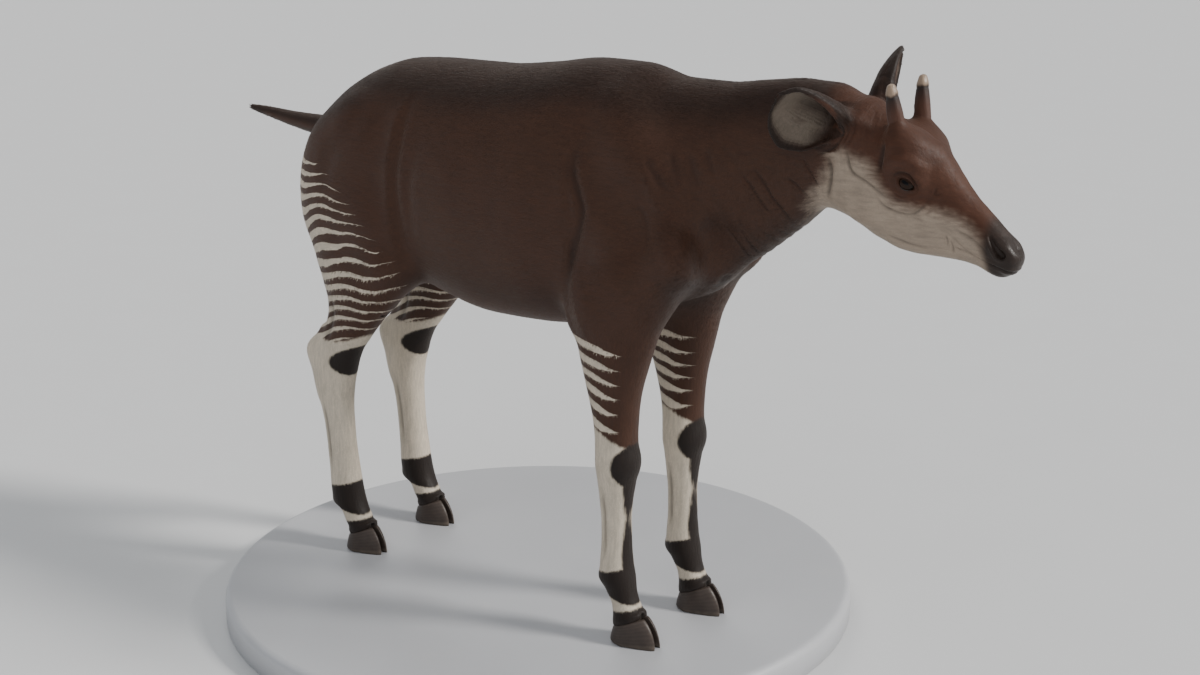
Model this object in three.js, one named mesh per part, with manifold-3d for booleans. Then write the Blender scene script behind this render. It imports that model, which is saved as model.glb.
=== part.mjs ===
// A life-size okapi, standing with its head held low in front of it, as a still museum model
// on a round base. Millimetres. X runs forward from tail to nose, Y to the animal's left, Z up.
// The origin is the middle of the underside of the base.

import * as THREE from 'three';
import { mergeVertices } from 'three/addons/utils/BufferGeometryUtils.js';
import Module from 'manifold-3d';

const wasm = await Module();
wasm.setup();

// Driving dimensions
const SHOULDER_HEIGHT = 1500;
const HEAD_LENGTH = 505;
const HEAD_DROP = THREE.MathUtils.degToRad(27);
const FORE_HOOF_X = 499;
const HIND_HOOF_X = -523;
const LEG_CUT_HEIGHT = 790;
const HOOF_HEIGHT = 56;
const HOOF_TILT = THREE.MathUtils.degToRad(16);
const CLAW_GAP = 5;
const EYE_RADIUS = 26;
const EAR_THICKNESS = 5;
const TAIL_LENGTH = 360;
const BASE_RADIUS = 900;
const BASE_THICKNESS = 81;
const BASE_BEVEL = 22;
const BASE_CENTRE = new THREE.Vector2(-23, 82);
const GAP = 0.3;

// Facets: how finely each part is divided
const TORSO_SIDES = 40;
const NECK_SIDES = 32;
const HEAD_SIDES = 36;
const LEG_SIDES = 16;
const BASE_SIDES = 80;

// Colours of the coat, by part
const CHESTNUT = 0x4a2a1c;
const DARK_BROWN = 0x38201a;
const CHEEK_GREY = 0xb3a594;
const SHANK_WHITE = 0xd8cdbb;
const HORN_BLACK = 0x1d1916;

// All the sizes below are drawn for this shoulder height, and the finished model is scaled from it
const DRAWN_HEIGHT = 1500;

// A smooth curve through stations [x, value], flat beyond its ends
function curveThrough(stations) {
  const slope = stations.map((s, i) => {
    if (i === 0 || i === stations.length - 1) return 0;
    const before = stations[i - 1];
    const after = stations[i + 1];
    const left = (s[1] - before[1]) / (s[0] - before[0]);
    const right = (after[1] - s[1]) / (after[0] - s[0]);
    return left * right > 0 ? (2 * left * right) / (left + right) : 0;
  });
  return (x) => {
    if (x <= stations[0][0]) return stations[0][1];
    const last = stations.length - 1;
    if (x >= stations[last][0]) return stations[last][1];
    let i = 0;
    while (x > stations[i + 1][0]) i += 1;
    const [x0, y0] = stations[i];
    const [x1, y1] = stations[i + 1];
    const h = x1 - x0;
    const t = (x - x0) / h;
    const rise = y0 * (1 + 2 * t) * (1 - t) ** 2 + y1 * t * t * (3 - 2 * t);
    return rise + h * t * (1 - t) * (slope[i] * (1 - t) - slope[i + 1] * t);
  };
}

// The columns of a list of sections as curves over the first column
function profiles(sections) {
  const columns = sections[0].length - 1;
  return Array.from({ length: columns }, (_, c) => curveThrough(sections.map((s) => [s[0], s[c + 1]])));
}

// Smooth union of two distances, and a smooth hollow
function blend(a, b, width) {
  const h = Math.max(width - Math.abs(a - b), 0) / width;
  return Math.min(a, b) - (h * h * width) / 4;
}

function hollow(a, b, width) {
  return -blend(-a, b, width);
}

// Distance to an ellipsoid given by its centre and half sizes, pitched nose down about Y
function muscle(x, y, z, cx, cy, cz, rx, ry, rz, pitch = 0) {
  const c = Math.cos(pitch);
  const s = Math.sin(pitch);
  const px = (x - cx) * c - (z - cz) * s;
  const pz = (x - cx) * s + (z - cz) * c;
  const py = y - cy;
  const near = Math.hypot(px / rx, py / ry, pz / rz);
  const slope = Math.hypot(px / (rx * rx), py / (ry * ry), pz / (rz * rz));
  return slope < 1e-9 ? -Math.min(rx, ry, rz) : (near * (near - 1)) / slope;
}

// Distance to a rounded limb that narrows from radius ra at a to rb at b
function limb(x, y, z, a, b, ra, rb) {
  const dx = b[0] - a[0];
  const dy = b[1] - a[1];
  const dz = b[2] - a[2];
  const along = ((x - a[0]) * dx + (y - a[1]) * dy + (z - a[2]) * dz) / (dx * dx + dy * dy + dz * dz);
  const t = Math.min(Math.max(along, 0), 1);
  return Math.hypot(x - a[0] - t * dx, y - a[1] - t * dy, z - a[2] - t * dz) - ra - t * (rb - ra);
}

// Distance in a section to an oval with its own half sizes up, down and sideways. end is how far
// the point lies past the last section, as a share of the rounded end's length.
function oval(side, up, halfSide, halfUp, halfDown, end, endLength, power) {
  const half = up > 0 ? halfUp : halfDown;
  const a = Math.abs(side) / halfSide;
  const b = Math.abs(up) / half;
  const e = Math.max(end, 0);
  const k = (a ** power + b ** power + e ** power) ** (1 / power);
  if (k < 1e-6) return -Math.min(halfSide, half);
  const g = Math.hypot((a / k) ** (power - 1) / halfSide, (b / k) ** (power - 1) / half,
    (e / k) ** (power - 1) / endLength);
  return (k - 1) / g;
}

// Trunk and neck: x, top line, height of the widest place, under line, half width
const TRUNK_SECTIONS = [
  [-750, 1286, 1130, 1030, 86],
  [-700, 1322, 1132, 992, 118],
  [-600, 1384, 1145, 930, 164],
  [-480, 1436, 1160, 895, 188],
  [-380, 1460, 1150, 862, 196],
  [-240, 1466, 1120, 806, 206],
  [-50, 1465, 1090, 778, 220],
  [130, 1480, 1085, 784, 220],
  [290, 1499, 1110, 806, 205],
  [420, 1496, 1160, 832, 180],
  [560, 1468, 1200, 908, 152],
  [680, 1466, 1230, 982, 124],
  [800, 1479, 1270, 1060, 98],
  [900, 1488, 1310, 1136, 86],
  [980, 1482, 1345, 1197, 80],
  [1060, 1455, 1355, 1210, 76],
];
const [trunkTop, trunkWaist, trunkUnder, trunkHalf] = profiles(TRUNK_SECTIONS);
const TRUNK_BACK = -750;
const TRUNK_FRONT = 1060;
const RUMP_END = 50;
const POLL_END = 60;

function trunk(x, y, z) {
  const at = Math.min(Math.max(x, TRUNK_BACK), TRUNK_FRONT);
  const waist = trunkWaist(at);
  const endLength = x < 0 ? RUMP_END : POLL_END;
  return oval(y, z - waist, trunkHalf(at), trunkTop(at) - waist, waist - trunkUnder(at),
    Math.abs(x - at) / endLength, endLength, 2.15);
}

// Foreleg: height, x, half length fore and aft, y, half width
const FORELEG_SECTIONS = [
  [62, 497, 51, 141, 44],
  [84, 489, 44, 141, 40],
  [109, 478, 40, 141, 37],
  [134, 466, 43, 141, 39],
  [172, 453, 49, 141, 46],
  [214, 449, 46, 141, 43],
  [270, 449, 43, 141, 37],
  [326, 448, 42, 141, 37],
  [381, 447, 46, 141, 41],
  [436, 448, 53, 141, 49],
  [488, 450, 60, 141, 57],
  [544, 447, 60, 141, 52],
  [600, 444, 66, 141, 50],
  [655, 440, 76, 141, 53],
  [703, 438, 88, 140, 58],
  [756, 438, 103, 138, 66],
  [830, 440, 122, 133, 74],
  [930, 455, 140, 122, 76],
];
const [foreX, foreLength, foreY, foreWidth] = profiles(FORELEG_SECTIONS);
const FORELEG_TOP = 930;

// Hind leg: height, x, half length fore and aft, y, half width
const HINDLEG_SECTIONS = [
  [60, -521, 49, 148, 43],
  [84, -540, 44, 148, 41],
  [112, -556, 44, 148, 41],
  [140, -580, 53, 148, 47],
  [180, -590, 52, 148, 46],
  [240, -597, 49, 148, 43],
  [320, -606, 47, 148, 41],
  [380, -612, 49, 148, 42],
  [440, -620, 55, 148, 46],
  [500, -624, 66, 148, 52],
  [560, -618, 80, 148, 54],
  [610, -600, 86, 148, 52],
  [655, -566, 88, 148, 54],
  [715, -524, 99, 148, 60],
  [772, -494, 130, 146, 70],
  [818, -484, 160, 142, 78],
  [880, -478, 190, 136, 84],
  [980, -490, 205, 120, 84],
];
const [hindX, hindLength, hindY, hindWidth] = profiles(HINDLEG_SECTIONS);
const HINDLEG_TOP = 980;

// The four feet stand a little out of line: how far each leg swings forward at the ground
const LEG_SWING = {
  foreleg_right: 0,
  foreleg_left: 3,
  hindleg_right: 0,
  hindleg_left: -12,
};
const SWING_TOP = 900;

function swing(name, z) {
  return LEG_SWING[name] * Math.min(Math.max(1 - z / SWING_TOP, 0), 1);
}

// The column of a leg, as an upright sweep
function column(x, y, z, curves, top, endLength, power) {
  const at = Math.min(z, top);
  const [cx, length, cy, width] = curves;
  return oval(y - cy(at), x - cx(at), width(at), length(at), length(at),
    (z - at) / endLength, endLength, power);
}

function foreleg(x, y, z) {
  const shank = column(x, y, z, [foreX, foreLength, foreY, foreWidth], FORELEG_TOP, 90, 2.1);
  const elbow = limb(x, y, z, [385, 150, 885], [345, 146, 868], 62, 42);
  const knee = muscle(x, y, z, 462, 141, 492, 50, 50, 58);
  const dewPad = muscle(x, y, z, 428, 141, 170, 30, 32, 26);
  return blend(blend(blend(shank, elbow, 60), knee, 14), dewPad, 16);
}

function shoulder(x, y, z) {
  const blade = muscle(x, y, z, 505, 82, 1240, 112, 90, 215, -0.57);
  const arm = limb(x, y, z, [636, 124, 1048], [432, 128, 905], 76, 76);
  const triceps = muscle(x, y, z, 452, 112, 1040, 104, 88, 190, -0.25);
  return blend(blend(blade, arm, 70), triceps, 50);
}

function hindleg(x, y, z) {
  const shank = column(x, y, z, [hindX, hindLength, hindY, hindWidth], HINDLEG_TOP, 160, 2.1);
  const heel = limb(x, y, z, [-652, 148, 655], [-690, 148, 592], 16, 27);
  const cord = limb(x, y, z, [-690, 148, 592], [-655, 148, 470], 26, 22);
  const dewPad = muscle(x, y, z, -608, 148, 140, 30, 32, 26);
  return blend(blend(blend(shank, heel, 50), cord, 40), dewPad, 16);
}

function haunch(x, y, z) {
  const thigh = muscle(x, y, z, -500, 112, 1090, 190, 92, 250, 0.1);
  const buttock = muscle(x, y, z, -660, 96, 1085, 108, 84, 190, 0.1);
  const stifle = limb(x, y, z, [-390, 128, 990], [-350, 142, 905], 80, 62);
  return blend(blend(thigh, buttock, 60), stifle, 70);
}

// Head, in its own frame: t runs from poll to nose along the drooping axis, w up from it
const HEAD_ORIGIN = { x: 1010, z: 1345 };
const HEAD_COS = Math.cos(HEAD_DROP);
const HEAD_SIN = Math.sin(HEAD_DROP);

function headFrame(x, z) {
  const dx = x - HEAD_ORIGIN.x;
  const dz = z - HEAD_ORIGIN.z;
  return [dx * HEAD_COS - dz * HEAD_SIN, dx * HEAD_SIN + dz * HEAD_COS];
}

function headPoint(t, y, w) {
  return new THREE.Vector3(HEAD_ORIGIN.x + t * HEAD_COS + w * HEAD_SIN, y,
    HEAD_ORIGIN.z - t * HEAD_SIN + w * HEAD_COS);
}

// Head sections: t, forehead and nose line, widest place, jaw line, half width
const HEAD_SECTIONS = [
  [-40, 98, 20, -118, 62],
  [30, 114, 20, -128, 68],
  [100, 128, 22, -136, 72],
  [165, 136, 24, -137, 76],
  [205, 133, 26, -134, 75],
  [240, 119, 24, -129, 67],
  [270, 105, 16, -120, 59],
  [310, 88, 8, -101, 51],
  [350, 75, 4, -81, 45],
  [390, 64, 4, -63, 41],
  [430, 54, 4, -50, 40],
  [462, 41, 2, -40, 38],
  [480, 30, 0, -33, 35],
];
const [headTop, headWaist, headJaw, headHalf] = profiles(HEAD_SECTIONS);
const HEAD_BACK = -40;
const HEAD_FRONT = 480;
const NOSE_END = HEAD_LENGTH - HEAD_FRONT;

const EYE = { t: 204, y: 58, w: 34 };
const HORN_ROOT = { t: 160, y: 47, w: 92 };
const EAR_ROOT = { t: 34, y: 66, w: 56 };

function head(x, y, z) {
  const [t, w] = headFrame(x, z);
  const side = Math.abs(y);
  const at = Math.min(Math.max(t, HEAD_BACK), HEAD_FRONT);
  const waist = headWaist(at);
  const endLength = t < 0 ? 60 : NOSE_END;
  const skull = oval(y, w - waist, headHalf(at), headTop(at) - waist, waist - headJaw(at),
    Math.abs(t - at) / endLength, endLength, 2.2);
  const orbit = muscle(t, side, w, EYE.t - 4, EYE.y + 1, EYE.w + 4, 44, 20, 34);
  const brow = muscle(t, side, w, EYE.t - 28, 50, EYE.w + 38, 46, 26, 26, 0.35);
  const cheek = muscle(t, side, w, 118, 44, -48, 78, 34, 66);
  const cheekbone = limb(t, side, w, [262, 52, 2], [140, 68, 2], 12, 16);
  const nostrilPad = muscle(t, side, w, 452, 21, 16, 36, 20, 24);
  const chin = muscle(t, side, w, 450, 0, -30, 40, 30, 20);
  const hornBoss = muscle(t, side, w, HORN_ROOT.t, HORN_ROOT.y - 3, HORN_ROOT.w - 12, 60, 44, 56, 0.6);
  const earBoss = muscle(t, side, w, EAR_ROOT.t, EAR_ROOT.y, EAR_ROOT.w, 36, 22, 34, 0.4);
  const temple = muscle(t, side, w, 112, 100, 62, 52, 26, 36);
  let d = blend(skull, orbit, 26);
  d = blend(d, brow, 28);
  d = blend(d, cheek, 30);
  d = blend(d, cheekbone, 24);
  d = blend(d, nostrilPad, 14);
  d = blend(d, chin, 10);
  d = hollow(d, temple, 24);
  d = blend(d, hornBoss, 30);
  return blend(d, earBoss, 20);
}

// The whole animal's surface: negative inside
function body(x, y, z) {
  const side = Math.abs(y);
  const flank = y > 0 ? 'left' : 'right';
  let d = trunk(x, y, z);
  const brisket = muscle(x, side, z, 580, 0, 1048, 112, 92, 98, 0.6);
  const breastGroove = muscle(x, side, z, 728, 112, 1052, 42, 30, 56, -0.3);
  d = blend(d, brisket, 80);
  d = blend(d, shoulder(x, side, z), 46);
  d = hollow(d, breastGroove, 64);
  d = blend(d, foreleg(x - swing(`foreleg_${flank}`, z), side, z), 60);
  d = blend(d, haunch(x, side, z), 60);
  d = blend(d, hindleg(x - swing(`hindleg_${flank}`, z), side, z), 70);
  return blend(d, head(x, y, z), 50);
}

// The torso ends in flats above the legs
const BELLY_FREE = 210;

function torsoSurface(x, y, z) {
  const d = body(x, y, z);
  return Math.abs(x) > BELLY_FREE ? Math.max(d, LEG_CUT_HEIGHT + GAP - z) : d;
}

// Distance from a centre outward to the surface along a direction
function reach(surface, centre, direction) {
  const p = new THREE.Vector3();
  const at = (r) => {
    p.copy(centre).addScaledVector(direction, r);
    return surface(p.x, p.y, p.z);
  };
  let inner = 0;
  let outer = 0;
  let d = at(0);
  if (d >= 0) throw new Error(`a ring starts outside the body at ${centre.toArray()}`);
  while (d < 0) {
    inner = outer;
    outer += Math.min(Math.max(-0.6 * d, 2), 30);
    d = at(outer);
  }
  for (let i = 0; i < 24; i += 1) {
    const middle = (inner + outer) / 2;
    if (at(middle) < 0) inner = middle;
    else outer = middle;
  }
  return inner;
}

// One ring of points on the surface, on rays that fan out from a centre in the plane of two
// directions, or on a cone that leans out of that plane towards the third
function ringOn(surface, centre, across, up, sides, crowd = 0, cone = 0) {
  const third = new THREE.Vector3().crossVectors(across, up).normalize();
  return Array.from({ length: sides }, (_, i) => {
    const turn = (2 * Math.PI * i) / sides;
    const angle = turn - crowd * Math.cos(turn);
    const direction = across.clone().multiplyScalar(Math.cos(angle)).addScaledVector(up, Math.sin(angle));
    direction.multiplyScalar(Math.cos(cone)).addScaledVector(third, Math.sin(cone));
    return centre.clone().addScaledVector(direction, reach(surface, centre, direction));
  });
}

// Cone angles that lead from a pole, in degrees
function coneAngles(degrees, sign) {
  return degrees.map((angle) => sign * THREE.MathUtils.degToRad(angle));
}

// A closed skin over rings of equal count, with a fan at each end
function skinOver(rings) {
  const sides = rings[0].length;
  const points = rings.flat();
  const indices = [];
  for (let r = 0; r < rings.length - 1; r += 1) {
    for (let i = 0; i < sides; i += 1) {
      const a = r * sides + i;
      const b = r * sides + ((i + 1) % sides);
      indices.push(a, b, b + sides, a, b + sides, a + sides);
    }
  }
  for (const [ring, flip] of [[0, true], [rings.length - 1, false]]) {
    const middle = rings[ring].reduce((sum, p) => sum.add(p), new THREE.Vector3()).divideScalar(sides);
    points.push(middle);
    for (let i = 0; i < sides; i += 1) {
      const a = ring * sides + i;
      const b = ring * sides + ((i + 1) % sides);
      if (flip) indices.push(b, a, points.length - 1);
      else indices.push(a, b, points.length - 1);
    }
  }
  const geometry = new THREE.BufferGeometry().setFromPoints(points);
  geometry.setIndex(indices);
  return facingOut(geometry);
}

// Turns a closed mesh inside out where its volume comes out negative
function facingOut(geometry) {
  const place = geometry.getAttribute('position');
  const index = geometry.getIndex();
  const [a, b, c] = [0, 1, 2].map(() => new THREE.Vector3());
  let volume = 0;
  for (let i = 0; i < index.count; i += 3) {
    a.fromBufferAttribute(place, index.getX(i));
    b.fromBufferAttribute(place, index.getX(i + 1));
    c.fromBufferAttribute(place, index.getX(i + 2));
    volume += a.dot(b.cross(c));
  }
  if (volume < 0) {
    for (let i = 0; i < index.count; i += 3) {
      const first = index.getX(i);
      index.setX(i, index.getX(i + 1));
      index.setX(i + 1, first);
    }
  }
  return geometry;
}

// Between a geometry and a solid that can be joined and cut
function solidOf(geometry) {
  const bare = geometry.clone();
  bare.deleteAttribute('normal');
  bare.deleteAttribute('uv');
  const merged = mergeVertices(bare, 1e-3);
  return new wasm.Manifold(new wasm.Mesh({
    numProp: 3,
    vertProperties: new Float32Array(merged.getAttribute('position').array),
    triVerts: new Uint32Array(merged.getIndex().array),
  }));
}

function geometryOf(solid) {
  const largest = solid.decompose().sort((a, b) => b.volume() - a.volume())[0];
  const mesh = largest.getMesh();
  const geometry = new THREE.BufferGeometry();
  geometry.setAttribute('position', new THREE.BufferAttribute(new Float32Array(mesh.vertProperties), 3));
  geometry.setIndex(new THREE.BufferAttribute(new Uint32Array(mesh.triVerts), 1));
  return geometry;
}

const FORWARD = new THREE.Vector3(1, 0, 0);
const ACROSS = new THREE.Vector3(0, 1, 0);
const UP = new THREE.Vector3(0, 0, 1);

// A lathe turns its profile about this axis
const UPRIGHT = new THREE.Vector3(0, 1, 0);

// The planes that part the neck from the torso and from the head, each by its lowest and
// highest point in the middle plane of the body
const NECK_BASE = { low: [690, 960], high: [585, 1470] };
const NECK_THROAT = { low: [985, 1185], high: [1030, 1495] };

function sectionPlane(low, high, share, shift) {
  const up = new THREE.Vector3(high[0] - low[0], 0, high[1] - low[1]).normalize();
  const forward = new THREE.Vector3(up.z, 0, -up.x);
  const centre = new THREE.Vector3(low[0] + (high[0] - low[0]) * share, 0, low[1] + (high[1] - low[1]) * share);
  return { centre: centre.addScaledVector(forward, shift), up };
}

function between(a, b, share) {
  return a.map((value, i) => value + (b[i] - value) * share);
}

// Torso: a domed rump, then upright rings that lean over at the shoulder to the plane of the
// neck's base. Rays crowd towards the back and the belly, where the section turns most.
const RUMP_CENTRE = new THREE.Vector3(-610, 0, 1170);
const RUMP_CONES = [80, 66, 52, 38, 25, 12];
const TORSO_CROWD = 0.25;
const SHOULDER_X = 420;
const UPRIGHT_RINGS = 18;
const LEANING_RINGS = 5;

function torsoGeometry(grow) {
  const surface = (x, y, z) => torsoSurface(x, y, z) - grow;
  const rings = coneAngles(RUMP_CONES, -1)
    .map((cone) => ringOn(surface, RUMP_CENTRE, ACROSS, UP, TORSO_SIDES, TORSO_CROWD, cone));
  for (let i = 0; i <= UPRIGHT_RINGS; i += 1) {
    const x = RUMP_CENTRE.x + ((SHOULDER_X - RUMP_CENTRE.x) * i) / UPRIGHT_RINGS;
    const centre = new THREE.Vector3(x, 0, RUMP_CENTRE.z + Math.min(i * 20, 80));
    rings.push(ringOn(surface, centre, ACROSS, UP, TORSO_SIDES, TORSO_CROWD));
  }
  const shoulder = { low: [SHOULDER_X, 820], high: [SHOULDER_X, 1496] };
  for (let i = 1; i <= LEANING_RINGS; i += 1) {
    const share = i / LEANING_RINGS;
    const low = between(shoulder.low, NECK_BASE.low, share);
    const high = between(shoulder.high, NECK_BASE.high, share);
    const plane = sectionPlane(low, high, 0.5, i === LEANING_RINGS ? -GAP / 2 : 0);
    rings.push(ringOn(surface, plane.centre, ACROSS, plane.up, TORSO_SIDES, TORSO_CROWD));
  }
  return skinOver(rings);
}

// Neck: rings from the plane at its base to the plane at the throat. A swollen neck also runs on
// a little past the throat, so that it and the swollen head overlap.
const NECK_RINGS = 10;
const OVERREACH = 5;

function neckGeometry(grow) {
  const rings = [];
  const surface = (x, y, z) => body(x, y, z) - grow;
  for (let i = 0; i <= NECK_RINGS; i += 1) {
    const share = i / NECK_RINGS;
    const shift = i === 0 ? GAP / 2 : (i === NECK_RINGS ? OVERREACH * grow - GAP / 2 : 0);
    const plane = sectionPlane(between(NECK_BASE.low, NECK_THROAT.low, share),
      between(NECK_BASE.high, NECK_THROAT.high, share), 0.5, shift);
    rings.push(ringOn(surface, plane.centre, ACROSS, plane.up, NECK_SIDES));
  }
  return skinOver(rings);
}

// Head: rings that lean from the throat's plane to square across the muzzle, then a domed nose.
// grow swells it.
const HEAD_RINGS = 26;
const LEAN_SHARE = 0.3;
const NOSE_CENTRE = headPoint(446, 0, -2);
const NOSE_CONES = [14, 28, 42, 56, 70, 82];

function headRings(grow) {
  const surface = (x, y, z) => body(x, y, z) - grow;
  const rings = [];
  const throat = sectionPlane(NECK_THROAT.low, NECK_THROAT.high, 0.5, GAP / 2);
  const square = new THREE.Vector3(HEAD_SIN, 0, HEAD_COS);
  for (let i = 0; i <= HEAD_RINGS; i += 1) {
    const share = i / HEAD_RINGS;
    const lean = Math.min(share / LEAN_SHARE, 1);
    const up = throat.up.clone().lerp(square, lean * lean * (3 - 2 * lean)).normalize();
    rings.push(ringOn(surface, throat.centre.clone().lerp(NOSE_CENTRE, share), ACROSS, up, HEAD_SIDES));
  }
  for (const cone of coneAngles(NOSE_CONES, 1)) {
    rings.push(ringOn(surface, NOSE_CENTRE, ACROSS, square, HEAD_SIDES, 0, cone));
  }
  return rings;
}

const EYE_CENTRE = headPoint(EYE.t, EYE.y, EYE.w);

function mirrored(vector) {
  return new THREE.Vector3(vector.x, -vector.y, vector.z);
}

// A ball of given radius; the eye and its socket share their facets
function ball(centre, radius) {
  return new THREE.SphereGeometry(radius, 16, 10).translate(centre.x, centre.y, centre.z);
}

function headGeometry() {
  let solid = solidOf(skinOver(headRings(0)));
  for (const side of [1, -1]) {
    const centre = side > 0 ? EYE_CENTRE : mirrored(EYE_CENTRE);
    solid = solid.add(solidOf(ball(centre, EYE_RADIUS + LID_THICKNESS))).subtract(almond(centre, side));
    solid = solid.subtract(solidOf(ball(centre, EYE_RADIUS + GAP)));
    solid = solid.subtract(nostril(side));
  }
  solid = solid.subtract(mouthLine());
  return geometryOf(solid);
}

// Lids: a shell over the eyeball with an almond opening, longer fore and aft than high
const EYE_OUTWARD = new THREE.Vector3(0.28, 0.94, 0.16).normalize();
const LID_THICKNESS = 4.5;
const LID_OPENING = { length: 49, height: 27 };

function eyeFrame(centre, side) {
  const outward = new THREE.Vector3(EYE_OUTWARD.x, side * EYE_OUTWARD.y, EYE_OUTWARD.z);
  const forward = new THREE.Vector3(HEAD_COS, 0, -HEAD_SIN);
  forward.addScaledVector(outward, -forward.dot(outward)).normalize();
  const up = new THREE.Vector3().crossVectors(outward, forward).multiplyScalar(side).normalize();
  if (up.z < 0) up.negate();
  return { centre, outward, forward, up };
}

function almond(centre, side) {
  const frame = eyeFrame(centre, side);
  const steps = 16;
  const ring = (depth, spread) => Array.from({ length: steps }, (_, i) => {
    const angle = (2 * Math.PI * i) / steps;
    const along = (LID_OPENING.length / 2) * Math.cos(angle) * spread;
    const pinch = 1 - 0.35 * Math.cos(angle) ** 4;
    const high = (LID_OPENING.height / 2) * Math.sin(angle) * pinch * spread;
    return frame.centre.clone().addScaledVector(frame.outward, depth)
      .addScaledVector(frame.forward, along).addScaledVector(frame.up, high);
  });
  return solidOf(skinOver([ring(4, 0.9), ring(60, 1.35)]));
}

// A nostril: a slit that widens to a round lower end, sunk into the surface
function nostril(side) {
  const upper = { t: 425, w: 31 };
  const lower = { t: 468, w: 14 };
  const steps = 7;
  const path = Array.from({ length: steps + 1 }, (_, i) => {
    const share = i / steps;
    const centre = headPoint(upper.t + (lower.t - upper.t) * share - 4, 0, upper.w + (lower.w - upper.w) * share);
    const direction = new THREE.Vector3(0.1, side, 0.12).normalize();
    return centre.addScaledVector(direction, reach(body, centre, direction) - 5);
  });
  const rings = path.map((centre, i) => {
    const share = i / steps;
    const along = new THREE.Vector3().subVectors(path[Math.min(i + 1, steps)], path[Math.max(i - 1, 0)]).normalize();
    const outward = new THREE.Vector3(0.1, side, 0.12);
    outward.addScaledVector(along, -outward.dot(along)).normalize();
    const thick = new THREE.Vector3().crossVectors(along, outward);
    const half = 2.6 + 5 * Math.sin((Math.PI / 2) * share ** 1.4) * (i === steps ? 0.6 : 1);
    return Array.from({ length: 10 }, (_, k) => {
      const angle = (2 * Math.PI * k) / 10;
      return centre.clone().addScaledVector(outward, 11 * Math.cos(angle)).addScaledVector(thick, half * Math.sin(angle));
    });
  });
  return solidOf(skinOver(rings));
}

// The line of the mouth, cut as a shallow groove that follows the lips along one side, turns
// round the muzzle where it bends and runs back along the other side
const MOUTH_CORNER = 366;
const MOUTH_BEND = 470;
const MOUTH_FRONT = 500;
const MOUTH_ROUND = 0.35;
const GROOVE_RADIUS = 2.4;

function lipHeight(t) {
  const share = (t - MOUTH_CORNER) / (MOUTH_FRONT - MOUTH_CORNER);
  return -32 + 20 * share;
}

function mouthLine() {
  const path = [];
  const steps = 14;
  for (let i = -steps; i <= steps; i += 1) {
    const travel = (1 - Math.abs(i) / steps) * (1 + MOUTH_ROUND);
    const t = MOUTH_CORNER + (MOUTH_BEND - MOUTH_CORNER) * Math.min(travel, 1);
    const angle = (Math.min(Math.max((travel - 1) / MOUTH_ROUND, 0), 1) * Math.PI) / 2;
    const side = Math.sign(i) || 1;
    const centre = headPoint(t - 6, 0, lipHeight(t));
    const direction = new THREE.Vector3(Math.sin(angle) * HEAD_COS, side * Math.cos(angle),
      -Math.sin(angle) * HEAD_SIN);
    path.push(centre.clone().addScaledVector(direction, reach(body, centre, direction)));
  }
  const curve = new THREE.CatmullRomCurve3(path);
  const section = new THREE.Shape();
  section.absarc(0, 0, GROOVE_RADIUS, 0, 2 * Math.PI);
  return solidOf(new THREE.ExtrudeGeometry(section, {
    extrudePath: curve, steps: 44, curveSegments: 3, bevelEnabled: false,
  }));
}

function eyeGeometry(side) {
  return ball(side > 0 ? EYE_CENTRE : mirrored(EYE_CENTRE), EYE_RADIUS);
}

// A leg below the torso: level rings down to the sloping plane of the hoof
function legGeometry(name) {
  const fore = name.startsWith('fore');
  const side = name.endsWith('left') ? 1 : -1;
  const centreAt = (z) => {
    const x = (fore ? foreX(z) : hindX(z)) + swing(name, z);
    return new THREE.Vector3(x, side * (fore ? foreY(z) : hindY(z)), z);
  };
  const top = LEG_CUT_HEIGHT - GAP / 2;
  const heights = (fore
    ? [735, 680, 625, 570, 535, 505, 475, 440, 400, 345, 270, 225, 195, 170, 145, 120, 98]
    : [735, 690, 650, 615, 585, 555, 520, 480, 430, 370, 290, 225, 180, 152, 128, 108, 92]);
  const rings = [top, ...heights].map((z) => ringOn(body, centreAt(z), ACROSS, FORWARD, LEG_SIDES));
  const foot = coronet(name);
  rings.push(ringOn(body, foot.centre.clone().addScaledVector(foot.normal, GAP), ACROSS, foot.forward, LEG_SIDES));
  return skinOver(rings);
}

// The plane where horn meets skin, higher in front than at the heel
function coronet(name) {
  const fore = name.startsWith('fore');
  const side = name.endsWith('left') ? 1 : -1;
  const x = (fore ? FORE_HOOF_X : HIND_HOOF_X) + swing(name, 0);
  const y = side * (fore ? foreY(HOOF_HEIGHT) : hindY(HOOF_HEIGHT));
  const forward = new THREE.Vector3(Math.cos(HOOF_TILT), 0, Math.sin(HOOF_TILT));
  const normal = new THREE.Vector3(-Math.sin(HOOF_TILT), 0, Math.cos(HOOF_TILT));
  return { centre: new THREE.Vector3(x, y, HOOF_HEIGHT + 6), forward, normal };
}

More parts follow.
